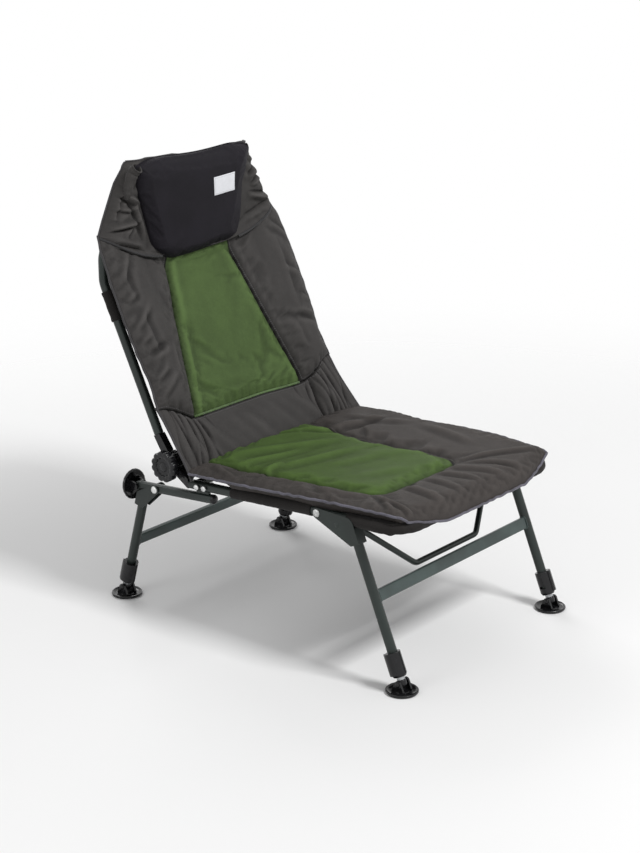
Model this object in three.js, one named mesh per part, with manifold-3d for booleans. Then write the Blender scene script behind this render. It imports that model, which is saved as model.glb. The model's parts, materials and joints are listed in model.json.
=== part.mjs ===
// Folding bank chair: padded sling seat and reclining padded back on a bent
// steel tube frame, with telescopic folding legs and tilting mud feet.
// Millimetres, +Z up, the sitter looks towards -Y and +X is the sitter's left.

import * as THREE from 'three';
import { mergeVertices } from 'three/addons/utils/BufferGeometryUtils.js';
import Module from 'manifold-3d';

const wasm = await Module();
wasm.setup();

const deg = Math.PI / 180;

// Fits shared by all pieces
const clearance = 0.3;
const overrun = 1;
const settlingPasses = 20;
const weldTolerance = 1e-4;

// Frame tube
const tubeRadius = 10;
const tubeWall = 1.4;
const tubeSides = 12;
const pinSides = 8;
const collarSides = 16;
const discSides = 16;
const railSpacing = 520;
const bendChord = 15 * deg;

// Feet: a round dish with two ears and a cross pin
const footRadius = 33;
const footRimHeight = 6.5;
const footRimWidth = 4;
const footPlate = 3.5;
const footHeight = 20;
const earWidth = 4.5;
const earRadius = 7.5;
const earSpread = 15;
const footPinRadius = 3;
const footSides = 20;

// Legs
const frontLean = 23 * deg;
const rearLean = 15.5 * deg;
const wheelbase = 750;
const innerLegRadius = (tubeRadius - tubeWall) * Math.cos(Math.PI / tubeSides) - clearance;
const innerLegWall = 1.4;
const innerLegLength = 165;
const plugRadius = 9.5;
const plugLength = 14;
const legTubeStart = 22;

// Clamp collars with a folding lever
const collarStart = 13;
const collarLength = 50;
const collarRadius = 15.5;
const collarTaper = 5;
const slitStart = 15;
const slitHeight = 5;
const leverThickness = 3;
const leverArc = 150 * deg;
const leverPinRadius = 2;
const leverSteps = 8;
const lugSteps = 4;

// Front and rear pivots of the legs
const frontPivot = { y: 206, z: 325 };
const rearPivotY = 647;
const rivetRadius = 4;
const rivetHeadRadius = 6.8;
const rivetHeadHeight = 3;
const sheet = 2;
const frontEye = 11;
const frontHump = 19;
const frontHumpLift = 7.5;
const frontWebLow = 33;
const rearEye = 11;
const rearWebLow = 30;

// Crossbars, flattened tube
const crossbarHeight = 25;
const crossbarDepth = 12;
const frontCrossbarHeight = 181;
const rearCrossbarHeight = 134;
const crossbarRound = 5;
const crossbarCornerSteps = 3;

// Bent brace between the front leg brackets
const braceRadius = 6;
const braceWidth = 206;
const braceBend = 22;
const braceLift = 22;
const braceEye = { y: 155, z: 312.4 };
const braceBoltRadius = 2.6;
const braceSides = 10;

// Seat frame
const railRearEnd = { y: 552, z: 301.5 };
const bowRise = 3;
const bowFront = 10;
const bowCorner = 62;
const bowJoint = 150;
const extensionFront = { y: 490, z: 281.5 };
const standPin = { y: 702, z: 263.5 };
const capThickness = 3;
const saddleLength = 44;
const saddleWidth = 6;
const spigotLength = 12;
const crossTubeY = 541;
const boltRadius = 3;
const boltHeadRadius = 5;
const boltHeadHeight = 3;
const boltSpacing = 20;
const boltFromEnd = 27;

// Recliner hinge
const hinge = { y: 600.7, z: 334.8 };
const hingeRadius = 27;
const hingeTeeth = 24;
const toothDepth = 1.5;
const lowerDisc = 12;
const upperDisc = 13.5;
const hingeBore = 5;
const armWidth = 20;
const armPlug = 52;
const armStartShare = 0.7;
const knobRadius = 33;
const knobLobes = 12;
const knobThickness = 18;
const knobScallop = 3.2;
const knobLobeSteps = 5;
const knobDish = 4;
const knobDishShare = 0.62;
const nutRadius = 9;
const nutThickness = 6;
const nutSides = 6;

// Back frame
const backLean = 26.4 * deg;
const backTubeStart = 68;
const backKneeHeight = 690;
const backShoulderHeight = 748;
const backTop = 903;
const backTopHalf = 150;
const shoulderRadius = 45;
const tubeBehindHinge = 10;

// Cloth slings and sleeves
const cloth = 1.6;
const sleeveFront = 224;
const sleeveRear = 434;
const slingRear = 436;
const notchX = railSpacing / 2 - tubeRadius - 2 * clearance - sheet;
const notchFront = 104;
const cornerTrimShare = 0.7;
const backSlingLow = 610;
const backSleeveLow = 615;
const backSlingHigh = 672;

// Seat pad
const seatOverhang = 14;
const seatRearOverhang = 23;
const seatNoseHalf = 130;
const seatCornerInset = 14;
const seatNose = -8;
const seatCorner = 20;
const seatRear = 535;
const seatRearMiddle = 562;
const seatRearPower = 6;
const seatEdge = 9;
const seatCrown = 8;
const seatLift = 8;
const cornerShare = 0.12;
const flareShare = 0.62;
const greenHalf = 136;
const greenRearHalf = 168;
const greenFront = 140;
const quiltDip = 6.5;
const quiltWidth = 16;
const crownPower = 6;

// Back pad: its rim lies along a straight line that leans with the back tubes
const backRim = { y: 625, z: 448 };
const backPadMiddleDrop = 29;
const backPadLowShare = 0.62;
const backPadHigh = 786;
const backPadTopDip = 62;
const backPadTopPower = 3;
const backPadOverhang = 16;
const backPadLowOverhang = 12;
const backPadTopInset = 2;
const backGreenLowHalf = 170;
const backGreenHighHalf = 88;
const padDish = 18;
const dishPower = 3;
const padBolster = 7;
const padThickness = 25.5;
const padEdge = 6;
const padEdgeShare = 0.87;
const padAhead = 14;
const padRimBehind = 4;
const padBehindTube = 13;
const tubeSideShares = [0.75, 0.87];
const kneeSoftness = 40;

// Lumbar band, hood and head pillow
const bandThickness = 15;
const bandSideThickness = 7;
const bandBulge = 6;
const bulgePower = 4;
const seamGap = 1.5;
const hoodFront = 13.5;
const hoodBehind = 20;
const hoodTop = 932;
const hoodTopDrop = 4;
const hoodTopHalf = 180;
const hoodEdge = 14;
const pillowThickness = 32;
const pillowEdge = 7;
const pillowLow = 712;
const pillowHigh = 926;
const pillowTopHalf = 175;
const pillowLowHalf = 126;
const pillowWaist = 5;
const pillowCornerDrop = 9;

// Grid of each pad, as columns and rows
// The middle panel's seams lie on these shares of the columns and rows
const panelColumnShare = 0.5;
const panelRowShare = 0.25;
const seatGrid = [16, 16];
const backGrid = [16, 16];
const bandGrid = [16, 5];
const hoodGrid = [14, 10];
const pillowGrid = [12, 10];

// Materials
const finishes = {
  paint: { color: 0x39423f, roughness: 0.42, metalness: 0.6 },
  barPaint: { color: 0x525f5d, roughness: 0.4, metalness: 0.6 },
  plastic: { color: 0x17181a, roughness: 0.35, metalness: 0 },
  steel: { color: 0xd9dbdc, roughness: 0.25, metalness: 1 },
  cloth: { color: 0x2b2724, roughness: 0.9, metalness: 0 },
  pad: { color: 0x433f3c, roughness: 0.85, metalness: 0 },
  pillow: { color: 0x1d1b22, roughness: 0.8, metalness: 0 },
};

// Solid helpers

function bare(geometry) {
  const positions = geometry.clone();
  positions.deleteAttribute('normal');
  positions.deleteAttribute('uv');
  return mergeVertices(positions, weldTolerance);
}

function solid(geometry) {
  const merged = bare(geometry);
  return new wasm.Manifold(new wasm.Mesh({
    numProp: 3,
    vertProperties: new Float32Array(merged.attributes.position.array),
    triVerts: new Uint32Array(merged.index.array),
  }));
}

function surface(body) {
  const mesh = body.getMesh();
  const geometry = new THREE.BufferGeometry();
  geometry.setAttribute('position', new THREE.BufferAttribute(mesh.vertProperties, 3));
  geometry.setIndex(new THREE.BufferAttribute(mesh.triVerts, 1));
  return geometry;
}

function join(...geometries) {
  return surface(geometries.map(solid).reduce((sum, part) => sum.add(part)));
}

function cut(geometry, ...tools) {
  return surface(tools.map(solid).reduce((rest, tool) => rest.subtract(tool), solid(geometry)));
}

function piece(name, geometry, finish) {
  const shown = bare(geometry);
  shown.computeVertexNormals();
  const material = new THREE.MeshStandardMaterial({ ...finishes[finish], flatShading: true });
  const mesh = new THREE.Mesh(shown, material);
  mesh.name = name;
  return mesh;
}

function ring(radius, sides, turn = 0) {
  return Array.from({ length: sides }, (_, i) => {
    const angle = turn + 2 * Math.PI * i / sides;
    return new THREE.Vector2(radius * Math.cos(angle), radius * Math.sin(angle));
  });
}

// A line of straight runs with round bends, each bend an arc of chords no wider than bendChord
class BentLine extends THREE.Curve {
  constructor(corners, radius) {
    super();
    this.points = [corners[0]];
    this.tangents = [corners[1].clone().sub(corners[0]).normalize()];
    for (let i = 1; i < corners.length - 1; i += 1) {
      this.addBend(corners[i - 1], corners[i], corners[i + 1], radius);
    }
    const last = corners.at(-1);
    this.points.push(last);
    this.tangents.push(last.clone().sub(corners.at(-2)).normalize());
    this.steps = this.points.length - 1;
  }

  addBend(before, corner, after, radius) {
    const incoming = corner.clone().sub(before).normalize();
    const outgoing = after.clone().sub(corner).normalize();
    const turn = incoming.angleTo(outgoing);
    const chords = Math.ceil(turn / bendChord);
    const start = corner.clone().addScaledVector(incoming, -radius * Math.tan(turn / 2));
    const inward = outgoing.clone().addScaledVector(incoming, -incoming.dot(outgoing)).normalize();
    for (let k = 0; k <= chords; k += 1) {
      const angle = turn * k / chords;
      const along = radius * Math.sin(angle);
      const across = radius * (1 - Math.cos(angle));
      this.points.push(start.clone().addScaledVector(incoming, along).addScaledVector(inward, across));
      const heading = incoming.clone().multiplyScalar(Math.cos(angle));
      this.tangents.push(heading.addScaledVector(inward, Math.sin(angle)).normalize());
    }
  }

  at(list, u) {
    return list[Math.round(u * (list.length - 1))].clone();
  }

  getPoint(t) { return this.at(this.points, t); }

  getPointAt(u) { return this.at(this.points, u); }

  getTangent(t) { return this.at(this.tangents, t); }

  getTangentAt(u) { return this.at(this.tangents, u); }
}

function rod(line, radius, sides = tubeSides) {
  const section = new THREE.Shape(ring(radius, sides, Math.PI / sides));
  return new THREE.ExtrudeGeometry(section, { steps: line.steps, extrudePath: line });
}

function pipe(line, radius, wall, sides = tubeSides) {
  const section = new THREE.Shape(ring(radius, sides, Math.PI / sides));
  section.holes.push(new THREE.Path(ring(radius - wall, sides, Math.PI / sides)));
  return new THREE.ExtrudeGeometry(section, { steps: line.steps, extrudePath: line });
}

function straight(from, to) {
  return new BentLine([from, to], 0);
}

// A flat outline drawn in (y, z), given thickness along x
function acrossX(outline, low, high) {
  const depth = high - low;
  const flat = new THREE.ExtrudeGeometry(new THREE.Shape(outline), { depth, bevelEnabled: false });
  const turn = new THREE.Matrix4().makeBasis(
    new THREE.Vector3(0, 1, 0), new THREE.Vector3(0, 0, 1), new THREE.Vector3(1, 0, 0));
  return flat.applyMatrix4(turn).translate(low, 0, 0);
}

// A revolved profile of (radius, x) points turned to lie along x
function turnedX(profile, sides) {
  const lathe = new THREE.LatheGeometry(profile.map(([r, h]) => new THREE.Vector2(r, h)), sides);
  return lathe.applyMatrix4(new THREE.Matrix4().makeRotationZ(-Math.PI / 2));
}

function pinX(radius, low, high, sides = pinSides) {
  return acrossX(ring(radius, sides, Math.PI / sides), low, high);
}

function box(low, high) {
  const size = high.clone().sub(low);
  const middle = high.clone().add(low).divideScalar(2);
  return new THREE.BoxGeometry(size.x, size.y, size.z).translate(middle.x, middle.y, middle.z);
}

// The smallest convex outline round a list of points
function hull(points) {
  const sorted = [...points].sort((a, b) => a.x - b.x || a.y - b.y);
  const half = (list) => list.reduce((chain, p) => {
    const turns = () => {
      const [a, b] = chain.slice(-2);
      return (b.x - a.x) * (p.y - a.y) - (b.y - a.y) * (p.x - a.x) <= 0;
    };
    while (chain.length > 1 && turns()) chain.pop();
    return [...chain, p];
  }, []);
  const lower = half(sorted);
  const upper = half(sorted.reverse());
  return [...lower.slice(0, -1), ...upper.slice(0, -1)];
}

function discAt(centre, radius) {
  return ring(radius, discSides).map((p) => p.add(centre));
}

// Seat frame lines in the side plane

const railX = railSpacing / 2;
const bowHeight = frontPivot.z + bowRise;
const railSlope = (frontPivot.z - railRearEnd.z) / (frontPivot.y - railRearEnd.y);
const extensionSlope = (standPin.z - extensionFront.z) / (standPin.y - extensionFront.y);

function railHeight(y) {
  if (y > frontPivot.y) return frontPivot.z + railSlope * (y - frontPivot.y);
  return frontPivot.z + (bowHeight - frontPivot.z) * (frontPivot.y - y) / (frontPivot.y - bowFront);
}

function extensionHeight(y) {
  return extensionFront.z + extensionSlope * (y - extensionFront.y);
}

function alongRail(x, y) {
  return new THREE.Vector3(x, y, railHeight(y));
}

// Feet and legs

function foot() {
  const dish = new THREE.LatheGeometry([
    [0, -footHeight],
    [footRadius - footRimWidth / 2, -footHeight],
    [footRadius, -footHeight + footPlate],
    [footRadius - footRimWidth / 3, -footHeight + footRimHeight],
    [footRadius - footRimWidth, -footHeight + footRimHeight],
    [footRadius - 2 * footRimWidth, -footHeight + footPlate],
    [0, -footHeight + footPlate],
  ].map(([r, h]) => new THREE.Vector2(r, h)), footSides).rotateX(Math.PI / 2);
  const outline = hull([
    ...discAt(new THREE.Vector2(0, 0), earRadius),
    new THREE.Vector2(-earSpread, -footHeight + footPlate / 2),
    new THREE.Vector2(earSpread, -footHeight + footPlate / 2),
  ]);
  const gap = tubeRadius + 2 * clearance;
  const ears = [[gap, gap + earWidth], [-gap - earWidth, -gap]]
    .map(([low, high]) => acrossX(outline, low, high));
  const pin = pinX(footPinRadius, -gap - earWidth - clearance, gap + earWidth + clearance);
  return join(dish, ...ears, pin);
}

// Radius of a round hole's corners that leaves the clearance to a pin at its flats
function holeRadius(pinRadius, count = tubeSides) {
  return (pinRadius + clearance) / Math.cos(Math.PI / count);
}

function boreX(pinRadius, low, high) {
  return pinX(holeRadius(pinRadius, pinSides), low, high);
}

function lathe(profile, count) {
  const points = profile.map(([r, h]) => new THREE.Vector2(r, h));
  return new THREE.LatheGeometry(points, count).rotateX(Math.PI / 2);
}

function innerLeg() {
  const top = plugLength + innerLegLength;
  const shoulder = plugLength - 2 * innerLegWall;
  const nose = [0, 1, 2, 3].map((k) => {
    const angle = k * Math.PI / 6;
    return [plugRadius * Math.sin(angle), -plugRadius * Math.cos(angle)];
  });
  const stem = lathe([
    ...nose,
    [plugRadius, shoulder - innerLegWall],
    [innerLegRadius, shoulder],
    [innerLegRadius, top],
    [innerLegRadius - innerLegWall, top],
    [innerLegRadius - innerLegWall, plugLength + innerLegWall],
    [0, plugLength + innerLegWall],
  ], tubeSides);
  return cut(stem, boreX(footPinRadius, -plugRadius - overrun, plugRadius + overrun));
}

function legTube(reach) {
  const line = straight(new THREE.Vector3(0, 0, legTubeStart), new THREE.Vector3(0, 0, reach));
  return pipe(line, tubeRadius, tubeWall);
}

function mirrorX(geometry, side) {
  if (side > 0) return geometry;
  const flipped = bare(geometry).scale(-1, 1, 1);
  const order = flipped.index.array;
  for (let i = 0; i < order.length; i += 3) [order[i], order[i + 1]] = [order[i + 1], order[i]];
  return flipped;
}

// Distance of the lever's pin from the leg's axis
const leverReach = collarRadius + leverThickness / 2;

// The clamp: a sleeve on the leg tube, slit on its inner side, with a lug that the lever turns on
function collar() {
  const end = collarStart + collarLength;
  const step = legTubeStart - clearance;
  const around = collarSides;
  const narrow = holeRadius(innerLegRadius, around);
  const wide = holeRadius(tubeRadius, around);
  const sleeve = lathe([
    [narrow, collarStart],
    [collarRadius - collarTaper / 2, collarStart],
    [collarRadius, collarStart + collarTaper],
    [collarRadius, end],
    [wide, end],
    [wide, step],
    [narrow, step],
    [narrow, collarStart],
  ], around);
  const low = collarStart + collarTaper;
  const eye = Array.from({ length: lugSteps + 1 }, (_, i) => {
    const angle = Math.PI * (1 + i / lugSteps);
    return new THREE.Vector2(
      leverPinRadius * Math.cos(angle), leverPinRadius * Math.sin(angle) - leverReach);
  });
  const root = [1, -1].map((hand) => new THREE.Vector2(hand * leverPinRadius, -wide - clearance));
  const lug = new THREE.ExtrudeGeometry(
    new THREE.Shape([...eye, ...root]), { depth: end - low, bevelEnabled: false }).translate(0, 0, low);
  const slit = box(
    new THREE.Vector3(-collarRadius - overrun, -collarRadius / 2, collarStart + slitStart),
    new THREE.Vector3(0, collarRadius / 2, collarStart + slitStart + slitHeight));
  return cut(join(sleeve, lug), slit);
}

// The lever: a curved shell that hugs the collar on its outer side, from the lug round to the back
function lever() {
  const inner = collarRadius + clearance;
  const outer = inner + leverThickness;
  const start = Math.asin((leverPinRadius + clearance) / inner) - Math.PI / 2;
  const arc = (radius, flip) => Array.from({ length: leverSteps + 1 }, (_, i) => {
    const share = flip ? 1 - i / leverSteps : i / leverSteps;
    return new THREE.Vector2(
      radius * Math.cos(start + leverArc * share), radius * Math.sin(start + leverArc * share));
  });
  const outline = new THREE.Shape([...arc(outer, false), ...arc(inner, true)]);
  const depth = collarLength - collarTaper;
  const shell = new THREE.ExtrudeGeometry(outline, { depth, bevelEnabled: false });
  return shell.translate(0, 0, collarStart + collarTaper);
}

// Distance up a leg at which the higher corner of its square end just clears the tube above it
function legReach(pinY, lean, heightAt) {
  const half = tubeRadius + clearance + sheet;
  const corners = [-half, half].map((across) => ({
    y: pinY + across * Math.cos(lean),
    z: footHeight - across * Math.sin(lean),
  }));
  let reach = 0;
  for (let pass = 0; pass < settlingPasses; pass += 1) {
    reach = Math.min(...corners.map((corner) => {
      const ceiling = heightAt(corner.y + reach * Math.sin(lean)) - tubeRadius - 2 * clearance;
      return (ceiling - corner.z) / Math.cos(lean);
    }));
  }
  return reach;
}

// A point of the side plane seen from a leg: across it and up it
function inLeg(point, pinY, lean) {
  const y = point.y - pinY;
  const z = point.z - footHeight;
  return new THREE.Vector2(
    y * Math.cos(lean) - z * Math.sin(lean),
    y * Math.sin(lean) + z * Math.cos(lean));
}

// Folded sheet bracket: two cheeks from the pivot's eye to the leg, joined by a web on the leg's far side
function bracket(eye, blade, reach) {
  const away = -Math.sign(eye.x);
  const inside = tubeRadius + clearance;
  const outside = inside + sheet;
  const hump = new THREE.Vector2(away * (outside - blade.hump), reach + blade.lift);
  const outline = hull([
    ...discAt(eye, blade.eye),
    ...(blade.hump > 0 ? discAt(hump, blade.hump) : []),
    new THREE.Vector2(away * outside, reach - blade.webLow),
    new THREE.Vector2(away * outside, reach - clearance),
    new THREE.Vector2(-away * tubeRadius, reach - blade.webLow),
  ]);
  const far = eye.length() + reach;
  const channelSpan = away < 0 ? [-inside, far] : [-far, inside];
  const channel = box(
    new THREE.Vector3(-inside, channelSpan[0], -far), new THREE.Vector3(inside, channelSpan[1], far));
  const above = box(
    new THREE.Vector3(-inside, -far, reach - clearance), new THREE.Vector3(inside, far, far));
  const bore = boreX(rivetRadius, -outside - overrun, outside + overrun).translate(0, eye.x, eye.y);
  const braceBores = blade.brace
    ? [boreX(braceBoltRadius, -outside - overrun, outside + overrun)
      .translate(0, blade.brace.x, blade.brace.y)]
    : [];
  return cut(acrossX(outline, -outside, outside), channel, above, bore, ...braceBores);
}

function rivet() {
  const half = tubeRadius + clearance + sheet + clearance;
  const top = half + rivetHeadHeight;
  const shoulder = half + rivetHeadHeight / 2;
  return turnedX([
    [0, -top], [rivetHeadRadius / 2, -top], [rivetHeadRadius, -shoulder], [rivetHeadRadius, -half],
    [rivetRadius, -half], [rivetRadius, half],
    [rivetHeadRadius, half], [rivetHeadRadius, shoulder], [rivetHeadRadius / 2, top], [0, top],
  ], pinSides);
}

function crossbar() {
  const half = { y: crossbarDepth / 2, z: crossbarHeight / 2 };
  const corners = [[1, 1], [-1, 1], [-1, -1], [1, -1]];
  const steps = Array.from({ length: crossbarCornerSteps + 1 }, (_, k) => k / crossbarCornerSteps);
  const outline = corners.flatMap(([side, rise], i) => steps.map((step) => {
    const angle = (i + step) * Math.PI / 2;
    return new THREE.Vector2(
      side * (half.y - crossbarRound) + crossbarRound * Math.cos(angle),
      rise * (half.z - crossbarRound) + crossbarRound * Math.sin(angle));
  }));
  const reach = railX - tubeRadius - clearance;
  return acrossX(outline, -reach, reach);
}

// The bent brace runs behind the crossbar's upper edge and rises to a bolt in each bracket
function brace(barY, barZ) {
  const behind = (crossbarDepth / 2 + clearance + braceRadius);
  const y = barY + behind * Math.cos(frontLean) + braceLift * Math.sin(frontLean);
  const z = barZ - behind * Math.sin(frontLean) + braceLift * Math.cos(frontLean);
  const cheek = railX - tubeRadius - clearance - sheet;
  const end = cheek - clearance - braceRadius;
  const ends = [-1, 1].map((side) => new THREE.Vector3(side * end, braceEye.y, braceEye.z));
  const corners = [-1, 1].map((side) => new THREE.Vector3(side * braceWidth / 2, y, z));
  const line = new BentLine([ends[0], corners[0], corners[1], ends[1]], braceBend);
  const outer = 2 * railX - cheek + clearance;
  const bolts = [[-outer, -end], [end, outer]].map(([low, high]) => pinX(braceBoltRadius, low, high)
    .translate(0, braceEye.y, braceEye.z));
  return join(rod(line, braceRadius, braceSides), ...bolts);
}

// Seat frame pieces

function rail(side) {
  const x = side * railX;
  const line = new BentLine([
    alongRail(x, railRearEnd.y), alongRail(x, frontPivot.y), alongRail(x, bowJoint + clearance),
  ], shoulderRadius);
  const reach = tubeRadius + overrun;
  const pivot = boreX(rivetRadius, x - reach, x + reach).translate(0, frontPivot.y, frontPivot.z);
  const bores = boltPlaces().map((place) => boreX(boltRadius, x - reach, x + reach)
    .translate(0, place.y, place.z));
  return cut(pipe(line, tubeRadius, tubeWall), pivot, ...bores);
}

function boltPlaces() {
  return [0, 1].map((i) => {
    const y = railRearEnd.y - boltFromEnd - i * boltSpacing;
    return { y, z: railHeight(y) };
  });
}

function bow() {
  const side = (s) => [alongRail(s * railX, bowJoint), new THREE.Vector3(s * railX, bowFront, bowHeight)];
  const [rightEnd, rightCorner] = side(-1);
  const [leftEnd, leftCorner] = side(1);
  return pipe(new BentLine([rightEnd, rightCorner, leftCorner, leftEnd], bowCorner), tubeRadius, tubeWall);
}

function onExtension(side, y) {
  return new THREE.Vector3(side * railX, y, extensionHeight(y));
}

function extensionTube(side) {
  const x = side * railX;
  const reach = tubeRadius + overrun;
  const end = standPin.y - plugRadius;
  const neckStart = end - plugLength;
  const neck = rod(straight(onExtension(side, neckStart), onExtension(side, standPin.y)), plugRadius);
  const plug = pinX(plugRadius, x - plugRadius, x + plugRadius, tubeSides)
    .translate(0, standPin.y, standPin.z);
  const saddle = box(
    new THREE.Vector3(
      x - saddleWidth / 2, extensionFront.y + tubeRadius, extensionHeight(extensionFront.y)),
    new THREE.Vector3(
      x + saddleWidth / 2, extensionFront.y + saddleLength, railHeight(extensionFront.y)));
  const railAbove = rod(
    straight(alongRail(x, frontPivot.y), alongRail(x, railRearEnd.y + saddleLength)),
    holeRadius(tubeRadius));
  const bore = rod(
    straight(onExtension(side, extensionFront.y - overrun), onExtension(side, neckStart)),
    tubeRadius - tubeWall);
  const pivot = boreX(rivetRadius, x - reach, x + reach)
    .translate(0, rearPivotY, extensionHeight(rearPivotY));
  const pinBore = boreX(footPinRadius, x - reach, x + reach).translate(0, standPin.y, standPin.z);
  const tube = rod(straight(onExtension(side, extensionFront.y), onExtension(side, end)), tubeRadius);
  return cut(join(tube, neck, plug, cut(saddle, railAbove)), bore, pivot, pinBore);
}

function endCap(side) {
  const head = extensionFront.y - clearance;
  const flange = rod(
    straight(onExtension(side, head - capThickness), onExtension(side, head)), tubeRadius);
  const spigot = rod(
    straight(onExtension(side, head - capThickness / 2), onExtension(side, head + spigotLength)),
    innerLegRadius);
  return join(flange, spigot);
}

function crossTube() {
  const reach = railX - tubeRadius - clearance;
  const at = (x) => new THREE.Vector3(x, crossTubeY, railHeight(crossTubeY));
  return pipe(straight(at(-reach), at(reach)), tubeRadius - tubeWall, tubeWall);
}

function bolt() {
  const half = tubeRadius + clearance;
  return turnedX([
    [0, -half - boltHeadHeight], [boltHeadRadius, -half - boltHeadHeight / 2], [boltHeadRadius, -half],
    [boltRadius, -half], [boltRadius, half],
    [boltHeadRadius, half], [boltHeadRadius, half + boltHeadHeight / 2], [0, half + boltHeadHeight],
  ], pinSides);
}

// Recliner hinge

const discInner = railX - tubeRadius;
const discSplit = discInner + lowerDisc;
const discOuter = discSplit + clearance + upperDisc;

function toothedDisc(low, high, radius) {
  const rim = Array.from({ length: 2 * hingeTeeth }, (_, i) => {
    const angle = Math.PI * i / hingeTeeth;
    const reach = i % 2 ? radius : radius - toothDepth;
    return new THREE.Vector2(reach * Math.cos(angle), reach * Math.sin(angle));
  });
  return acrossX(rim, low, high);
}

function span(side, a, b) {
  return [Math.min(side * a, side * b), Math.max(side * a, side * b)];
}

// An arm from a toothed disc to a round plug that fills a tube's end. The tube starts at `end`,
// given from the hinge's centre, and runs along `heading`; the other disc's room is cut away.
function hingeArm(side, disc, otherDisc, end, heading) {
  const spine = Math.atan2(end.y, end.x);
  const reach = hingeRadius * armStartShare;
  const start = new THREE.Vector2(reach * Math.cos(spine), reach * Math.sin(spine));
  const half = tubeRadius - tubeWall;
  const armOutline = hull([...discAt(start, armWidth / 2), ...discAt(end, half)]);
  const arm = acrossX(armOutline, ...span(side, railX - half, railX + half));
  const room = pinX(hingeRadius + clearance, ...span(side, ...otherDisc), 2 * tubeSides);
  const block = 4 * tubeRadius;
  const tubeEnd = new THREE.BoxGeometry(block, block, block).translate(0, block / 2 - clearance, 0)
    .rotateX(heading.angle()).translate(side * railX, end.x, end.y);
  const plugEnd = end.clone().addScaledVector(heading, armPlug);
  const plugStart = end.clone().addScaledVector(heading, -armWidth / 2);
  const plug = rod(straight(
    new THREE.Vector3(side * railX, plugStart.x, plugStart.y),
    new THREE.Vector3(side * railX, plugEnd.x, plugEnd.y)), innerLegRadius);
  const toothed = toothedDisc(...span(side, ...disc), hingeRadius);
  const bore = boreX(hingeBore, ...span(side, discInner - overrun, discOuter + overrun));
  return cut(join(toothed, cut(arm, room, tubeEnd), cut(plug, room)), bore);
}

function lowerArm(side) {
  const end = new THREE.Vector2(railRearEnd.y - hinge.y, railRearEnd.z - hinge.z);
  const heading = new THREE.Vector2(-1, -railSlope).normalize();
  const arm = hingeArm(side, [discInner, discSplit], [discSplit, discOuter + overrun], end, heading);
  const bores = boltPlaces().map((place) => boreX(boltRadius, ...span(side, discInner, railX + tubeRadius))
    .translate(0, place.y - hinge.y, place.z - hinge.z));
  return cut(arm, ...bores).translate(0, hinge.y, hinge.z);
}

// A point on the back tube's centre line, by its distance from the foot of the line under the hinge
function backPoint(distance) {
  return {
    y: hinge.y + tubeBehindHinge * Math.cos(backLean) + distance * Math.sin(backLean),
    z: hinge.z - tubeBehindHinge * Math.sin(backLean) + distance * Math.cos(backLean),
  };
}

function upperArm(side) {
  const start = backPoint(backTubeStart);
  const end = new THREE.Vector2(start.y - hinge.y, start.z - hinge.z);
  const heading = new THREE.Vector2(Math.sin(backLean), Math.cos(backLean));
  const disc = [discSplit + clearance, discOuter];
  const otherDisc = [discInner - overrun, discSplit + clearance];
  return hingeArm(side, disc, otherDisc, end, heading).translate(0, hinge.y, hinge.z);
}

// The clamp knob: scalloped rim, dished face and a stud through both discs to a fixed nut
function knob(side) {
  const steps = knobLobeSteps * knobLobes;
  const rim = Array.from({ length: steps }, (_, i) => {
    const angle = 2 * Math.PI * i / steps;
    const wave = (1 + Math.cos(knobLobes * angle)) / 2;
    const reach = knobRadius - knobScallop * wave * wave;
    return new THREE.Vector2(reach * Math.cos(angle), reach * Math.sin(angle));
  });
  const low = discOuter + clearance;
  const high = low + knobThickness;
  const nut = discInner - clearance;
  const grip = acrossX(rim, ...span(side, low, high));
  const dish = pinX(
    knobRadius * knobDishShare, ...span(side, high - knobDish, high + overrun), 2 * tubeSides);
  const stud = pinX(hingeBore, ...span(side, nut - overrun, low + overrun));
  const head = pinX(nutRadius, ...span(side, nut - nutThickness, nut), nutSides);
  return join(cut(grip, dish), stud, head);
}

// Back frame

const backKneeY = hinge.y + tubeBehindHinge / Math.cos(backLean)
  + (backKneeHeight - hinge.z) * Math.tan(backLean);

function hoopCorners(side) {
  const start = backPoint(backTubeStart);
  const x = side * railX;
  return [
    new THREE.Vector3(x, start.y, start.z),
    new THREE.Vector3(x, backKneeY, backKneeHeight),
    new THREE.Vector3(x, backKneeY, backShoulderHeight),
    new THREE.Vector3(side * backTopHalf, backKneeY, backTop),
  ];
}

function hoopLine() {
  return new BentLine([...hoopCorners(-1), ...hoopCorners(1).reverse()], shoulderRadius);
}

function hoop() {
  return pipe(hoopLine(), tubeRadius, tubeWall);
}

// Cloth

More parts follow.
